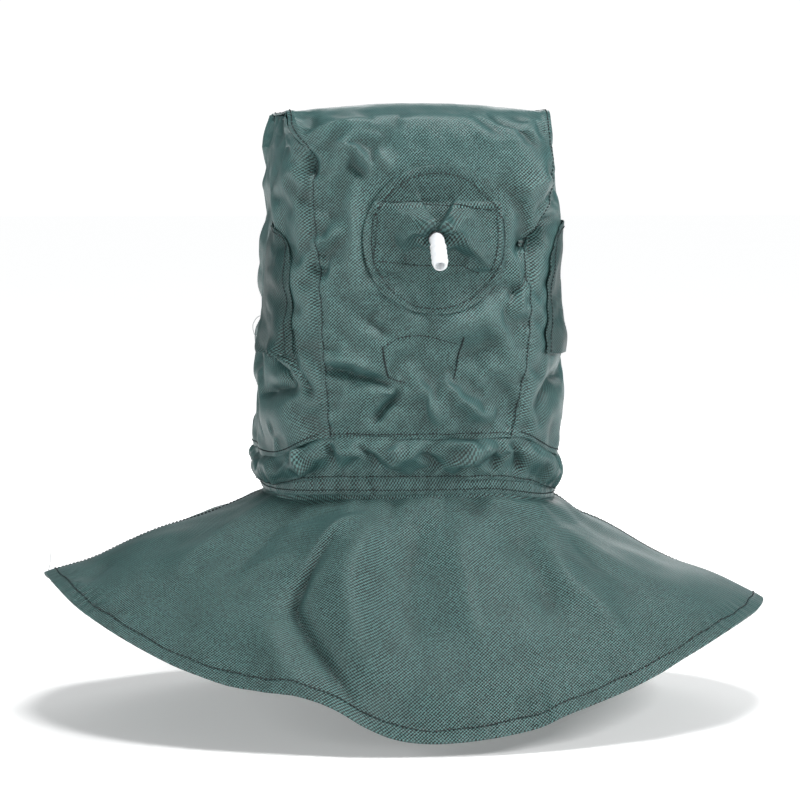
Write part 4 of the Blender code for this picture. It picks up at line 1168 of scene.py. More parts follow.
def patch_rise(angle, radius):
    """How far the patch stands off the panel: its sewn rim, the plate in its pocket, and the peak
    round the inlet."""
    x, z = patch_place(angle, radius)
    wide, tall = PLATE_W / 2 + 0.004 - np.abs(x - PLATE_X), PLATE_H / 2 + 0.004 - np.abs(z - PLATE_Z)
    inside = np.minimum(wide, tall)
    rim = PATCH_R - radius
    pocket = 0.0028 * ease(inside / 0.006) - 0.0004 * np.exp(-((rim - 0.0062) / 0.0014) ** 2)
    flute = 0.5 + 0.5 * np.cos(5 * angle + 1.2)
    peak = (0.0074 + 0.0010 * flute) * np.exp(-(radius / (0.0175 + 0.0035 * flute)) ** 2)
    return FACE + 0.0007 + pocket + peak


def on_back(strip, x, z, off):
    """A point off metres outside the hood's back."""
    s = back_station(z)
    return strip.at(x / strip_half(s, x), s, off)


def make_back_patch(cloth, strip):
    def base(angle, radius):
        x, z = patch_place(angle, radius)
        return on_back(strip, x, z, patch_rise(angle, radius))
    radii = np.concatenate([steps(0.0066, 0.024, 0.0010)[:-1], steps(0.024, 0.056, 0.0016)[:-1],
                            steps(0.056, PATCH_R, 0.0008)])
    patch = Surface(base, full_turn(240), radii, (0, 0, -0.08), closed=True)
    y = -0.131
    patch.folds = [
        Fold([(0.0085, y, -0.066), (-0.002, y, -0.0705), (-0.014, y, -0.0755), (-0.027, y, -0.0815)],
             0.0054, 0.0060, 0.0150, ends=(0.05, 0.35)),
        Fold([(0.0115, y, -0.066), (0.024, y, -0.0735), (0.037, y, -0.0830), (0.050, y, -0.0935),
              (0.060, y, -0.104)], 0.0054, 0.0150, 0.0060, ends=(0.05, 0.35)),
        Fold([(0.000, y, -0.082), (-0.010, y, -0.090), (-0.020, y, -0.0965)], -0.0030, 0.0060),
        Fold([(0.019, y, -0.082), (0.029, y, -0.090), (0.040, y, -0.0975)], -0.0030, 0.0060),
        Fold([(-0.030, y, -0.050), (-0.012, y, -0.058), (0.000, y, -0.066)], 0.0014, 0.004),
        Fold([(0.046, y, -0.054), (0.032, y, -0.060), (0.020, y, -0.068)], 0.0016, 0.004),
        Fold([(0.003, y, -0.097), (0.006, y, -0.112), (0.002, y, -0.128)], -0.0014, 0.005),
        Undulation(51, 0.0005, 0.035), Undulation(52, 0.0002, 0.012),
    ]
    patch.lowest = -0.0009
    patch.slack = lambda p: 1 - np.exp(-(np.hypot(p[..., 0] - INLET_X, p[..., 2] - INLET_Z) / 0.009) ** 4)

    def doubled(angle, radius):
        return FABRIC * (1 + 0.8 * ease(1 - (PATCH_R - radius - 0.0070) / 0.0025))
    cloth_piece("back_patch", patch, doubled, 0.0, cloth, patch_place,
                lambda a, r: 0.9 * np.exp(-(PATCH_R - r) / 0.0020))
    return patch


def make_nape_anchor(cloth, strip):
    """The doubled cloth inside the nape, which the harness hangs from."""
    anchor = Surface(lambda x, z: on_back(strip, x, z, -0.0026), steps(-NAPE_W / 2, NAPE_W / 2, STEP),
                     steps(NAPE_Z - NAPE_H / 2, NAPE_Z + NAPE_H / 2, STEP), (0, 0, NAPE_Z))
    cloth_piece("nape_anchor", anchor, 0.0012, 0.0, cloth, lambda x, z: (x, z))


# ---- neck band, casing, elastic and cape ---------------------------------------------------------
class Gather:
    """Little pleats that run down from a gathered ring and die away below and above it."""

    def __init__(self, seed, height, wave, level, above, below):
        r = np.random.default_rng(seed)
        self.counts = np.round(0.78 / wave * r.uniform(0.55, 1.5, 9)).astype(int)
        self.phases = r.uniform(0, 2 * math.pi, 9)
        self.height, self.level, self.above, self.below = height, level, above, below

    def __call__(self, p, n):
        angle = np.arctan2(p[..., 1], p[..., 0])
        pleats = np.cos(angle[..., None] * self.counts + self.phases).sum(-1) / 3
        away = p[..., 2] - self.level
        return self.height * pleats * np.exp(-(away / np.where(away > 0, self.above, self.below)) ** 2)


# folds of the neck band, as HOOD_FOLDS
BAND_FOLDS = [
    ([(-0.059, -0.123, -0.249), (-0.048, -0.128, -0.260), (-0.037, -0.119, -0.278)],
     -0.0030, 0.004, 0.006),
    ([(-0.004, -0.131, -0.252), (0.007, -0.127, -0.267), (0.015, -0.121, -0.277)],
     -0.0032, 0.004, 0.006),
    ([(0.010, -0.130, -0.252), (0.036, -0.128, -0.254), (0.041, -0.129, -0.260), (0.028, -0.125, -0.269),
      (0.034, -0.119, -0.279)], 0.0034, 0.005, 0.006),
    ([(0.030, -0.127, -0.268), (0.049, -0.127, -0.258), (0.069, -0.123, -0.257)], 0.0030, 0.006, 0.004),
    ([(-0.083, -0.113, -0.246), (-0.080, -0.117, -0.262), (-0.078, -0.115, -0.276)],
     -0.0036, 0.004, 0.004),
    ([(0.080, -0.115, -0.246), (0.084, -0.108, -0.266), (0.086, -0.101, -0.282)],
     -0.0040, 0.004, 0.005),
    ([(-0.030, -0.128, -0.252), (-0.024, -0.129, -0.262), (-0.028, -0.122, -0.276)],
     0.0026, 0.006, 0.004),
    ([(0.058, -0.124, -0.256), (0.064, -0.120, -0.268), (0.060, -0.112, -0.280)],
     -0.0026, 0.004, 0.005),
    ([(-0.106, -0.092, -0.252), (-0.104, -0.096, -0.268), (-0.098, -0.096, -0.280)],
     0.0036, 0.006, 0.006),
]


def make_neck(cloth):
    """The band that blouses over the neck, and the gathered casing under it."""
    angles = even_angles(*NECK_RING, STEP)
    band = Surface(band_base, angles, steps(-0.02, 1.05, 0.045), (0, 0, -0.26), closed=True)
    band.folds = [Fold(*f) for f in BAND_FOLDS]
    pleats = [Gather(61, 0.0006, 0.019, -0.289, 0.014, 0.014),
              Gather(62, 0.0004, 0.010, -0.289, 0.010, 0.014)]
    band.folds += pleats + [Undulation(63, 0.0010, 0.05)]
    band.slack = lambda p: ease((SHELL_Z - droop(p[..., 0]) - p[..., 2]) / 0.007)
    crumple(band, 130, 9, 0.050, 0.8, 0.0060, seed=64)

    def over(angle, t):
        return 0.0003 + 0.0009 * ease((t - 0.02) / 0.15)
    cloth_piece("neck_band", band, over, lambda a, t: over(a, t) - FABRIC, cloth,
                lambda a, t: (a * NECK_GIRTH, -0.04 * t), lambda a, t: 0.6 * np.exp(-(1.05 - t) / 0.05))

    low = CASING_LOW + 0.0010
    path = smooth_path([(0, CASING_TOP + 0.0006), (0.0004, (CASING_TOP + low) / 2), (0, low + 0.0012),
                        (-0.0012, low), (-0.0050, low), (-0.0062, low + 0.0012),
                        (-0.0062, CASING_TOP)], 6)
    arc = np.linspace(0, 1, len(path))

    def casing_base(angle, t):
        ring = ring_point(angle, NECK_A, NECK_B, 0.0, NECK_N)
        out = ring / np.linalg.norm(ring, axis=-1)[..., None]
        point = ring + out * np.interp(t, arc, path[:, 0])[..., None]
        point[..., 2] = np.interp(t, arc, path[:, 1]) + neck_tilt(ring[..., 0])
        return point
    casing = Surface(casing_base, angles, steps(0, 1, 0.03), (0, 0, -0.29), closed=True)
    casing.folds = pleats
    cloth_piece("neck_casing", casing, 0.0010, 0.0002, cloth, lambda a, t: (a * NECK_GIRTH, -0.03 * t),
                lambda a, t: 0.7 * np.exp(-((t - 0.36) / 0.05) ** 2))
    return band, casing


# folds of the cape, as HOOD_FOLDS
CAPE_FOLDS = [
    # the deep fold at the left of the back, from the neck down to the hem
    ([(-0.040, -0.124, -0.306), (-0.078, -0.131, -0.326), (-0.106, -0.154, -0.360),
      (-0.111, -0.172, -0.389)], 0.0034, 0.016, 0.009, 0.004),
    ([(-0.060, -0.128, -0.318), (-0.088, -0.143, -0.345), (-0.112, -0.166, -0.378),
      (-0.108, -0.180, -0.398), (-0.090, -0.198, -0.426), (-0.068, -0.219, -0.458),
      (-0.055, -0.232, -0.482)], -0.0068, 0.008, 0.012),
    ([(-0.020, -0.122, -0.304), (-0.046, -0.136, -0.324), (-0.068, -0.161, -0.363),
      (-0.066, -0.191, -0.409), (-0.044, -0.216, -0.452)], 0.0040, 0.018, 0.012, 0.004),
    ([(-0.135, -0.165, -0.388), (-0.126, -0.190, -0.424), (-0.104, -0.214, -0.462)],
     0.0040, 0.014, 0.016, 0.005),
    # the middle of the back
    ([(0.006, -0.122, -0.304), (-0.012, -0.150, -0.340), (-0.018, -0.180, -0.386),
      (-0.004, -0.210, -0.436)], -0.0026, 0.014, 0.014, 0.008),
    ([(0.030, -0.122, -0.304), (0.028, -0.150, -0.342), (0.034, -0.186, -0.394), (0.052, -0.214, -0.440)],
     0.0034, 0.018, 0.020, 0.006),
    # the right of the back
    ([(0.065, -0.122, -0.308), (0.089, -0.148, -0.350), (0.100, -0.166, -0.378), (0.112, -0.188, -0.416)],
     -0.0030, 0.012, 0.016, 0.008),
    ([(0.092, -0.120, -0.318), (0.119, -0.154, -0.367), (0.140, -0.162, -0.386), (0.160, -0.178, -0.414),
      (0.176, -0.192, -0.440)], 0.0036, 0.016, 0.012, 0.005),
    ([(0.120, -0.098, -0.316), (0.158, -0.130, -0.366), (0.196, -0.150, -0.402)],
     -0.0022, 0.014, 0.016, 0.008),
    # the left shoulder
    ([(-0.130, -0.050, -0.312), (-0.176, -0.084, -0.346), (-0.222, -0.112, -0.390)],
     0.0032, 0.018, 0.020, 0.006),
    ([(-0.110, -0.086, -0.310), (-0.150, -0.118, -0.352), (-0.182, -0.146, -0.400)],
     -0.0018, 0.014, 0.016, 0.008),
    ([(-0.255, -0.040, -0.356), (-0.276, -0.057, -0.371), (-0.291, -0.071, -0.384)],
     -0.0014, 0.010, 0.012, 0.006),
    # the unseen front
    ([(0.020, 0.124, -0.306), (0.034, 0.156, -0.350), (0.040, 0.200, -0.420)], -0.0060, 0.014, 0.018),
    ([(-0.050, 0.122, -0.306), (-0.078, 0.150, -0.350), (-0.100, 0.190, -0.430)],
     -0.0050, 0.014, 0.016),
    ([(0.096, 0.106, -0.312), (0.136, 0.140, -0.364), (0.160, 0.172, -0.430)], 0.0060, 0.016, 0.020),
    ([(-0.120, 0.086, -0.314), (-0.170, 0.120, -0.366), (-0.206, 0.144, -0.420)], 0.0050, 0.016, 0.020),
]


def cape_uv(angle, t):
    """The cape unrolled: a ring sector whose middle is at the back."""
    turn = 0.72 * (angle - 1.5 * math.pi)
    radius = 0.171 + 0.220 * t
    return radius * np.sin(turn), -radius * np.cos(turn)


def hem_share(angle):
    """How much of the cape's slant its turned hem takes up."""
    slant = cape_base(angle, np.ones_like(angle)) - cape_base(angle, np.zeros_like(angle))
    return HEM / np.linalg.norm(slant, axis=-1)


def hem_pucker(p, n):
    """Little puckers that the hem's stitching leaves along it."""
    x, y = p[..., 0] / CAPE_A, p[..., 1] / CAPE_B
    angle = np.arctan2(y, x)
    wave = np.sin(140 * angle + 2.1 * np.sin(23 * angle)) * (0.6 + 0.4 * np.sin(9 * angle + 1))
    return 0.0007 * wave * np.exp(-((np.hypot(x, y) - 0.97) / 0.030) ** 2)


def make_cape(cloth):
    rows = np.concatenate([steps(-CAPE_TOP_T, 0, 0.008)[:-1], steps(0, 0.93, 0.0135)[:-1],
                           steps(0.93, 1.0, 0.0055)])
    fine = np.linspace(0, 2 * math.pi, 2001)
    along = run_along(cape_base(fine, np.full_like(fine, 0.8)))
    count = int(along[-1] / 0.0029)
    angles = np.interp(np.arange(count) / count * along[-1], along, fine) + math.pi / 2
    cape = Surface(cape_base, angles, rows, (0, 0, -0.48), closed=True)
    cape.folds = [Fold(*f) for f in CAPE_FOLDS]
    cape.folds += [Gather(71, 0.0006, 0.026, CAPE_TOP, 0.010, 0.016), Undulation(73, 0.0016, 0.11),
                   Undulation(74, 0.0004, 0.04), hem_pucker]
    cape.slack = lambda p: ease((CASING_LOW + 0.001 + neck_tilt(p[..., 0]) - p[..., 2]) / 0.004)
    crumple(cape, 230, 34, 0.016, 0.15, 0.0050, free_rows=(1,), seed=75)

    def wear(angle, t):
        above = (1 - t) * CAPE_SLANT
        return 0.95 * np.exp(-above / 0.0020) + 0.2 * np.exp(-(above / 0.012) ** 4)
    cloth_piece("shoulder_cape", cape, lambda a, t: 0.0005 * ease((t - 1 + hem_share(a)) / 0.008),
                lambda a, t: -FABRIC - FABRIC * ease((t - 1 + hem_share(a)) / 0.004), cloth,
                cape_uv, wear)
    return cape


def make_elastic(material):
    """The elastic inside the neck casing."""
    def base(angle, t):
        z = CASING_TOP - 0.0005 - 0.0085 * t
        ring = ring_point(angle, NECK_A - 0.0040, NECK_B - 0.0040, z, NECK_N)
        ring[..., 2] += neck_tilt(ring[..., 0])
        return ring
    angles = even_angles(*NECK_RING, 0.004)
    ring = Surface(base, angles, steps(0, 1, 0.1), (0, 0, -0.29), closed=True)
    cloth_piece("neck_elastic", ring, 0.0013, 0.0, material, lambda a, t: (a * 0.12, 0.0085 * t),
                kind="band")


# ---- window surround and harness -----------------------------------------------------------------
def rounded(width, height, radius, angle):
    """A rounded rectangle's outline at an angle round its middle."""
    c, s = np.cos(angle), np.sin(angle)
    n = 2 + 0.8 * min(width, height) / radius
    r = (np.abs(c / (width / 2)) ** n + np.abs(s / (height / 2)) ** n) ** (-1 / n)
    return r * c, r * s


def make_surround(cloth):
    """The doubled cloth round the window's opening, under the window's frame."""
    def base(angle, t):
        outer = rounded(FRAME_W + 0.016, FRAME_H + 0.016, 0.014, angle)
        inner = rounded(OPEN_W + 0.004, OPEN_H + 0.004, 0.006, angle)
        x, z = (a + (b - a) * t for a, b in zip(outer, inner))
        return np.stack([x, np.full_like(x, FRONT_PLANE), z + WINDOW_Z], -1)
    ring = Surface(base, full_turn(260), steps(0, 1, 0.08), (0, 0, WINDOW_Z), closed=True)
    cloth_piece("window_surround", ring, 0.0011, 0.0, cloth,
                lambda a, t: tuple(base(a, t)[..., k] for k in (0, 2)),
                lambda a, t: 0.9 * np.exp(-t / 0.08))
    return ring


def headband_z(y):
    return BROW_Z + HEADBAND_TILT * (y - HEAD_B)


def head_ring(angle, off, up):
    """A point of the headband, off metres outside it and up metres above its middle."""
    point = ring_point(angle, HEAD_A + off, HEAD_B + off, 0.0, 2.0)
    point[..., 2] = headband_z(point[..., 1]) + up
    return point


def strap_arch(angle, reach, over, roots):
    """A strap over the head, as (sideways, height): from one root up to over and down to the other."""
    root = np.where(angle < math.pi / 2, *roots)
    c, s = np.abs(np.cos(angle)), np.abs(np.sin(angle))
    radius = (c ** 3 + s ** 3) ** (-1 / 3)
    return np.sign(np.cos(angle)) * reach * radius * c, root + (over - root) * radius * s


def tape(name, base, us, width, thickness, inside, material, closed=False):
    """A flat webbing piece: base(u, side), with side across it in metres, and rounded selvedges."""
    vs = np.linspace(-width / 2, width / 2, 13)
    surface = Surface(base, us, vs, inside, closed=closed)
    fine = np.linspace(us[0], surface.end, 400)
    path = base(fine, np.zeros_like(fine))
    along = run_along(path)

    def edge(u, v):
        return 0.00025 * ease((np.abs(v) / (width / 2) - 0.86) / 0.14)
    cloth_piece(name, surface, lambda u, v: thickness - edge(u, v), edge, material,
                lambda u, v: (np.interp(u, fine, along), v), kind="webbing")


def make_harness(web, pad):
    """The headband, its straps and tabs, and the brow pad inside it."""
    half, gap, web_half, web_thick = HEADBAND_H / 2, 0.0034, 0.010, 0.0015
    ring = even_angles(HEAD_A, HEAD_B, 2.0, 0.003)
    tape("headband", lambda a, v: head_ring(a, 0, v), ring, 2 * half, 0.0020, (0, 0, -0.09), web,
         closed=True)

    def cross(angle, side):
        x, z = strap_arch(angle, HEAD_A + gap, 0.0, (headband_z(0), headband_z(0)))
        return np.stack([x, side + 0 * x, z], -1)

    def lengthways(angle, side):
        y, z = strap_arch(angle, HEAD_B + gap, 0.0022, (BROW_Z, headband_z(-HEAD_B)))
        return np.stack([side + 0 * y, y, z], -1)
    round_head = np.linspace(0.0, math.pi, 120)
    for name, base in (("cross_strap", cross), ("lengthways_strap", lengthways)):
        tape(name, base, round_head, 2 * web_half, web_thick, (0, 0, -0.06), web)
    start, end = HEAD_A + gap + web_thick + 0.0006, float(side_at(headband_z(0) + 0.006)) - 0.0055
    for name, sign in (("left_side_tab", -1), ("right_side_tab", 1)):
        def tab(t, side, sign=sign):
            z = headband_z(0) + 0.006 * t - 0.004 * np.sin(math.pi * t)
            return np.stack([sign * (start + (end - start) * t), side, z], -1)
        tape(name, tab, steps(0, 1, 0.08), 2 * web_half, web_thick, (0, 0, -0.70), web)

    low, high = np.array(NAPE_LOW), np.array(NAPE_TOP)

    def nape(t, side):
        point = low + (high - low) * t[..., None]
        return point + np.stack([side, 0 * side, 0 * side], -1)
    tape("nape_strap", nape, steps(0, 1, 0.04), 0.024, 0.0012, (0, 0.5, -0.1), web)

    rim = half + 0.0015
    round_brow = Surface(lambda a, v: head_ring(a, -0.0048, v), np.radians(steps(38, 142, 1.2)),
                         np.linspace(-rim, rim, 25), (0, 0, -0.06))

    def plump(a, v):
        ends = 1 - np.clip(np.abs(np.degrees(a) - 90) / 52, 0, 1) ** 14
        return 0.0019 * np.sqrt(np.clip((1 - np.abs(v / rim) ** 5) * ends, 0, 1))
    cushion = cloth_piece("brow_pad", round_brow, lambda a, v: 0.0020 + plump(a, v),
                          lambda a, v: 0.0020 - plump(a, v), pad, lambda a, v: (a * HEAD_B, v),
                          kind="foam")


# ---- air inlet and hard parts --------------------------------------------------------------------
def elbow_frame(s):
    """A point s along the inlet's centre line and its direction, both as (y, z)."""
    straight = ELBOW_START - ELBOW_TURN
    angle = min(max(s - straight, 0.0) / ELBOW_R, ELBOW_ANGLE)
    rest = max(s - straight - ELBOW_R * ELBOW_ANGLE, 0.0)
    direction = -math.cos(angle), -math.sin(angle)
    y = ELBOW_START - min(s, straight) - ELBOW_R * math.sin(angle) + direction[0] * rest
    z = INLET_Z - ELBOW_R * (1 - math.cos(angle)) + direction[1] * rest
    return (y, z), direction


def make_inlet(plastic):
    """The barbed elbow as one smooth moulding, with its bore: rings of (place along it, radius)."""
    straight = ELBOW_START - ELBOW_TURN
    bend = ELBOW_R * ELBOW_ANGLE
    shoulder, tail = ELBOW_START + 0.1281, straight + bend
    outer = [(0.0, 0.0052), (0.0004, 0.0057), (0.0010, 0.0060)]
    collar = [(-0.0004, 0.0060), (0.0, 0.0064), (0.0, 0.0091), (0.0003, 0.0095), (0.0022, 0.0095),
              (0.0025, 0.0092), (0.0025, 0.0066), (0.0029, 0.0062)]
    outer += [(shoulder + s, radius) for s, radius in collar]
    outer += [(straight + bend * k / 12, 0.0062) for k in range(13)]
    barb = [(-0.0004, 0.0060), (0.0, 0.0062), (0.0004, 0.0069), (0.0007, 0.0071), (0.0012, 0.00705),
            (0.0030, 0.0066), (0.0046, 0.0061)]
    for k in range(4):
        start = tail + 0.0035 + 0.0055 * k
        outer += [(start + s, radius) for s, radius in barb]
    end = tail + TAIL
    outer += [(end - 0.0008, 0.0059), (end - 0.0003, 0.0057), (end, 0.0053), (end, 0.0044)]
    inner = [(end - 0.0004, BORE_R)]
    inner += [(straight + bend * k / 12, BORE_R) for k in range(12, -1, -1)]
    inner += [(0.0, BORE_R)]
    count = 72
    turn = np.arange(count) * 2 * math.pi / count
    rings = []
    for s, radius in outer + inner:
        (y, z), (dy, dz) = elbow_frame(s)
        across, up = np.array([1.0, 0, 0]), np.array([0.0, -dz, dy])
        centre = np.array([INLET_X, y, z])
        rings.append(centre + radius * (np.cos(turn)[:, None] * across + np.sin(turn)[:, None] * up))
    faces = []
    for j in range(len(rings)):
        here, after = j * count, (j + 1) % len(rings) * count
        for i in range(count):
            k = (i + 1) % count
            faces.append((after + i, after + k, here + k, here + i))
    item = add_piece("barbed_inlet", np.concatenate(rings), faces, plastic, body="air_inlet",
                     smooth=60)
    fix_normals(item.data)
    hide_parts("air_inlet_elbow")


def fix_normals(mesh):
    bm = bmesh.new()
    bm.from_mesh(mesh)
    bmesh.ops.recalc_face_normals(bm, faces=bm.faces)
    bm.to_mesh(mesh)
    bm.free()


def finish_hard_parts(frame, looks):
    """Better materials and softened edges for the CAD nodes that stay."""
    for names, material, width in looks:
        for name in names:
            item = frame["nodes"][name]
            for place in item.material_slots:
                place.material = material
            bevel = item.modifiers.new("edges", "BEVEL")
            bevel.width, bevel.segments, bevel.limit_method = width, 2, "ANGLE"
            bevel.angle_limit = math.radians(40)
            bevel.harden_normals = False


# ---- sewing --------------------------------------------------------------------------------------
SUNK = THREAD_R * 0.35    # how high a thread's middle lies on the cloth: the rest of it is drawn in
# the stitched rectangle round the inlet and the one at the nape, as (x, z)
POCKET_LINES = [
    [(-0.038, -0.0440), (-0.022, -0.0455), (0.010, -0.0480), (0.046, -0.0505), (0.061, -0.0520)],
    [(-0.0385, -0.0450), (-0.0395, -0.060), (-0.041, -0.078), (-0.0425, -0.094)],
    [(-0.0425, -0.0945), (-0.026, -0.0965), (-0.008, -0.0990), (0.014, -0.1000), (0.034, -0.1000),
     (0.047, -0.1050)],
    [(0.061, -0.0520), (0.0630, -0.068), (0.0615, -0.088), (0.0565, -0.1050)],
]
NAPE_LINES = [
    [(-0.035, -0.1675), (-0.0335, -0.181), (-0.031, -0.1935)],
    [(-0.0345, -0.1675), (-0.018, -0.1590), (0.006, -0.1600), (0.030, -0.1665)],
    [(0.0335, -0.1620), (0.0300, -0.177), (0.0262, -0.1950)],
    [(-0.031, -0.1935), (-0.022, -0.1970), (-0.015, -0.1985)],
]


def strip_line(strip, sign, inset, low, high, off, front=None):
    """A line up the strip's edge, inset metres inside it."""
    s = even_stations(low, high, 0.0015)
    if front is None:
        u = sign * (1 - inset / strip_half(s, sign))
        return laid_on(strip, u, s, strip_lap(u, s) + off)
    u = sign * (1 - 0.5 * inset / (strip_half(s, sign) - OPEN_W / 2))
    return laid_on(front, u, s, FACE + off)


def sew(surfaces, ears, patch, band, casing, cape, thread):
    """All the sewing but the window's: lines laid on the cloth, and threads along them."""
    strip, front = surfaces["strip"], surfaces["front"]
    off = SUNK
    hood = []
    for sign in (-1, 1):
        hood.append(strip_line(strip, sign, 0.0028, -0.004, 4.004, off))
        hood.append(strip_line(strip, sign, 0.0028, 4.0, 5.004, off, front))
    u = np.linspace(-0.97, 0.97, 160)
    for s in (0.008, 3.985):
        hood.append(laid_on(strip, u, np.full_like(u, s), strip_lap(u, s) + off))
    hood.append(laid_on(front, u, np.full_like(u, 4.992), FACE + off))
    for name in ("left", "right"):
        t = np.linspace(0.02, 0.98, 220)
        hood.append(laid_on(surfaces[name], t, np.full_like(t, 0.008), FACE + off))
    stitches("hood_topstitch", hood, thread, seed=81)

    turn = np.linspace(0, 2 * math.pi, 420)
    wander = 0.0008 * np.sin(3 * turn + 0.5) + 0.0009 * np.sin(turn + 2.4)
    line = laid_on(patch, turn, PATCH_R - 0.0056 + wander, FABRIC * 1.8 + off)
    stitches("patch_topstitch", [line], thread, seed=82)

    def on_patch(points):
        path = smooth_path([(x, 0, z) for x, z in points], 40)
        x, z = path[:, 0] - PATCH_X, path[:, 2] - PATCH_Z
        angle, radius = np.arctan2(z, x) % (2 * math.pi), np.minimum(np.hypot(x, z), PATCH_R - 0.004)
        return laid_on(patch, angle, radius, FABRIC + off)
    stitches("pocket_stitch", [on_patch(line) for line in POCKET_LINES], thread, seed=83)

    lines = []
    for ear in (ears["left"], ears["right"]):
        inset = 0.90
        across, up = np.linspace(-inset, inset, 160), np.linspace(-0.98, inset, 160)
        edge = np.full(160, inset)
        for a, b in ((edge, up), (-edge, up), (across, edge)):
            lines.append(laid_on(ear, a, b, FABRIC * 1.5 + off))
    stitches("ear_topstitch", lines, thread, seed=84)

    def on_strip(points):
        path = smooth_path([(x, 0, z) for x, z in points], 30)
        s = back_station(path[:, 2])
        return laid_on(strip, path[:, 0] / strip_half(s, path[:, 0]), s, FACE + off)
    stitches("nape_stitch", [on_strip(line) for line in NAPE_LINES], thread, seed=85)
    bars = [zigzag(on_strip(NAPE_LINES[0]), 0.0016), zigzag(on_strip(NAPE_LINES[2]), 0.0009),
            zigzag(on_strip([(0.0335, -0.1600), (0.0318, -0.1700)]), 0.0016)]
    stitches("nape_bar_tacks", bars, thread, pitch=0.0011, length=0.0010, radius=0.00042, seed=86)

    ring = band.us.tolist() + [band.us[0] + 2 * math.pi]
    ring = np.interp(np.linspace(0, 1, 900), np.linspace(0, 1, len(ring)), ring)
    lines = [laid_on(band, ring, np.full_like(ring, 0.965), FACE + off),
             laid_on(casing, ring, np.full_like(ring, 0.24), 0.0010 + off)]
    stitches("neck_stitch", lines, thread, seed=87)

    ring = np.linspace(math.pi / 2, 2.5 * math.pi, 2400)
    wavy = 1 - hem_share(ring) * (1 + 0.06 * np.sin(17 * ring) + 0.05 * np.sin(41 * ring + 1))
    line = laid_on(cape, ring, wavy, 0.0005 + off)
    stitches("hem_stitch", [line], thread, pitch=0.0040, length=0.0031, seed=88)

    t = np.linspace(0.01, 0.99, 160)
    reach = 0.13 + 0.19 * t
    lines = [laid_on(cape, middle + shift / reach, t, 0.0001 + off)
             for middle in (math.pi, 2 * math.pi) for shift in (-0.0035, 0.0035)]
    stitches("shoulder_seam_stitch", lines, thread, seed=89)


def zigzag(line, width):
    """A bar tack: a line run to and fro across its own direction."""
    length = run_along(line[0])[-1]
    count = int(length / 0.00055)
    at, up = along_line(line, np.linspace(0, length, count))
    side = np.cross(np.gradient(at, axis=0), up)
    side /= np.linalg.norm(side, axis=1)[:, None]
    swing = np.where(np.arange(count) % 2 == 0, 1.0, -1.0)[:, None]
    return at + side * swing * width / 2 + up * 0.0002, up


def surround_stitches(ring, thread):
    turn = np.linspace(0, 2 * math.pi, 700)
    line = laid_on(ring, turn, np.full_like(turn, 0.13), 0.0011 + SUNK)
    stitches("surround_topstitch", [line], thread, seed=90)


def loose_thread(name, points, material):
    """A loose end of thread: a thin tube along given points."""
    radius = 0.00030
    path = smooth_path(points, 6)
    ahead = np.gradient(path, axis=0)
    ahead /= np.linalg.norm(ahead, axis=1)[:, None]
    side = np.cross(ahead, (0.3, 1.0, 0.2))
    side /= np.linalg.norm(side, axis=1)[:, None]
    up = np.cross(side, ahead)
    turn = np.arange(6) * math.pi / 3
    round_it = side[:, None] * np.cos(turn)[:, None] + up[:, None] * np.sin(turn)[:, None]
    rings = path[:, None] + radius * round_it
    faces = [[(i // 7) * 6 + (i % 7) % 6 for i in f] for f in grid_faces(len(path), 7, False)[0]]
    last = (len(path) - 1) * 6
    faces += [list(range(6)), list(range(last + 5, last - 1, -1))]
    item = add_piece(name, rings.reshape(-1, 3), faces, material)
    fix_normals(item.data)


def loose_ends(cape, ear, material):
    """A pale thread end that stands at the cape's left tip, and a loop at the left ear patch's front
    edge."""
    tip = cape.at(np.array([math.pi]), np.array([0.985]))[0]
    stand = [(0.0, 0.0, 0.0), (0.0015, -0.001, 0.007), (0.0022, -0.002, 0.015), (0.0005, -0.003, 0.023),
             (-0.0020, -0.003, 0.0285)]
    loose_thread("loose_thread_cape", [tip + np.array(move) for move in stand], material)
    across, up = np.array([0.96, 1.0, 1.0, 0.98, 0.95]), np.array([-0.55, -0.60, -0.72, -0.82, -0.74])
    loop = ear.at(across, up, np.array([0.0008, 0.0075, 0.0095, 0.0070, 0.0008]))
    loose_thread("loose_thread_ear", loop, material)


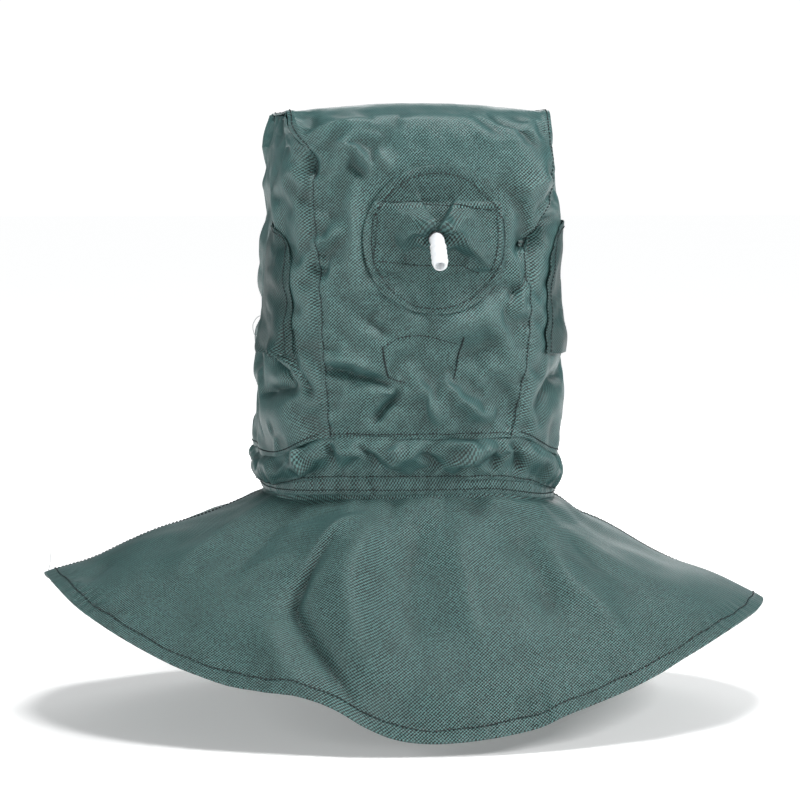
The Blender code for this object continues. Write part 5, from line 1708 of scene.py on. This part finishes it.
# ---- stage ---------------------------------------------------------------------------------------
def make_stage():
    """A pale floor under the hem, a soft studio world that the camera sees as white, and four lights."""
    scene = bpy.context.scene
    mesh = bpy.data.meshes.new("floor")
    mesh.from_pydata([(-30, -30, 0), (30, -30, 0), (30, 30, 0), (-30, 30, 0)], [], [(0, 1, 2, 3)])
    floor = bpy.data.objects.new("floor", mesh)
    floor.location.z = HEM_LOW - 0.012
    mesh.materials.append(floor_material())
    scene.collection.objects.link(floor)

    world = bpy.data.worlds.new("studio")
    world.use_nodes = True
    nodes, links = world.node_tree.nodes, world.node_tree.links
    nodes.clear()
    out, mix = nodes.new("ShaderNodeOutputWorld"), nodes.new("ShaderNodeMixShader")
    path = nodes.new("ShaderNodeLightPath")
    soft, white = nodes.new("ShaderNodeBackground"), nodes.new("ShaderNodeBackground")
    soft.inputs[0].default_value = (0.94, 0.98, 1.0, 1)
    soft.inputs[1].default_value = 0.16
    white.inputs[0].default_value = (1, 1, 1, 1)
    white.inputs[1].default_value = 1.05
    links.new(path.outputs["Is Camera Ray"], mix.inputs[0])
    links.new(soft.outputs[0], mix.inputs[1])
    links.new(white.outputs[0], mix.inputs[2])
    links.new(mix.outputs[0], out.inputs[0])
    scene.world = world
    scene.view_settings.view_transform = "Standard"

    target = Vector((0, 0, -0.2))
    lights = [("key", (2.2, -1.3, 1.3), 0.7, 58), ("fill", (-2.3, -1.0, 0.5), 0.9, 23),
              ("top", (0.1, -0.7, 2.1), 0.6, 46), ("front", (0.6, 2.6, 0.9), 1.8, 26)]
    for name, place, size, power in lights:
        light = bpy.data.lights.new(name, "AREA")
        light.energy, light.size = power, size
        item = bpy.data.objects.new(name, light)
        item.location = place
        item.rotation_euler = (target - Vector(place)).to_track_quat("-Z", "Y").to_euler()
        scene.collection.objects.link(item)


def make_camera():
    """The photo's view: from behind, a little from the hood's left and from above."""
    azimuth, elevation, distance = math.radians(-6.5), math.radians(4.5), 2.6
    target = Vector((-0.006, 0, -0.2235))
    flat = math.cos(elevation)
    back = Vector((math.sin(azimuth) * flat, -math.cos(azimuth) * flat, math.sin(elevation)))
    camera = bpy.data.cameras.new("camera")
    camera.lens, camera.sensor_width = 130.05, 36.0
    item = bpy.data.objects.new("camera", camera)
    item.location = target + back * distance
    item.rotation_euler = (-back).to_track_quat("-Z", "Y").to_euler()
    bpy.context.scene.collection.objects.link(item)
    bpy.context.scene.camera = item


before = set(bpy.data.objects)
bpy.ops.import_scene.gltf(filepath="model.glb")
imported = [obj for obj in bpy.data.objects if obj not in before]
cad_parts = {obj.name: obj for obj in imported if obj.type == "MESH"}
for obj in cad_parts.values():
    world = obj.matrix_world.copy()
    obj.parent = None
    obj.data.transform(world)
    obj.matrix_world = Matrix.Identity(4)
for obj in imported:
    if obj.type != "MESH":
        bpy.data.objects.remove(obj)
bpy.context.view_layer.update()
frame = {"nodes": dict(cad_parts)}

make_camera()
make_stage()
cloth = canvas("canvas_cloth")
cape_cloth = canvas("canvas_cape", 0.88, (0.35, 0.80))
# the ear patches' cloth is a darker copy of the canvas: painted shade for the side-facing patches
ear_cloth_shaded = canvas("canvas_ear_patch_shaded", 0.56)
thread = thread_material("sewing_thread", (0.003, 0.008, 0.009), (0.010, 0.022, 0.024))
surfaces = make_hood(cloth)
ears = make_ear_patches(ear_cloth_shaded, surfaces)
# the back patch's cloth is a darker copy of the canvas: painted shade
patch = make_back_patch(canvas("canvas_back_patch_shaded", 0.84), surfaces["strip"])
make_nape_anchor(cloth, surfaces["strip"])
band, casing = make_neck(cloth)
cape = make_cape(cape_cloth)
make_elastic(elastic_material())
surround = make_surround(cloth)
web = webbing("black_webbing", (0.018, 0.019, 0.021))
make_harness(web, foam())
sew(surfaces, ears, patch, band, casing, cape, thread)
surround_stitches(surround, thread)
loose_ends(cape, ears["left"], thread_material("pale_thread", (0.42, 0.44, 0.44), (0.62, 0.64, 0.64)))
white = moulded("white_plastic", (0.76, 0.78, 0.80), 0.34, 700.0, 0.00006, Specular_IOR_Level=0.5)
make_inlet(white)

black = moulded("black_plastic", (0.020, 0.021, 0.023), 0.42, 1400.0, 0.00010)
rubber = moulded("seal_rubber", (0.026, 0.026, 0.027), 0.72, 2200.0, 0.00012)
fixings = ["window_%s_%d" % (kind, k) for kind in ("screw", "nut") for k in range(1, 7)]
finish_hard_parts(frame, [
    (["window_frame", "window_door_frame", "window_clamp_ring", "lens_retainer", "strap_slider",
      "inlet_stiffener"], black, 0.0004),
    (["window_gasket", "inlet_washer"], rubber, 0.0003),
    (["hinge_pin"] + fixings, steel(), 0.0002),
    (["inlet_lock_nut"], white, 0.0003),
    (["window_lens"], lens_material(), 0.0002),
])
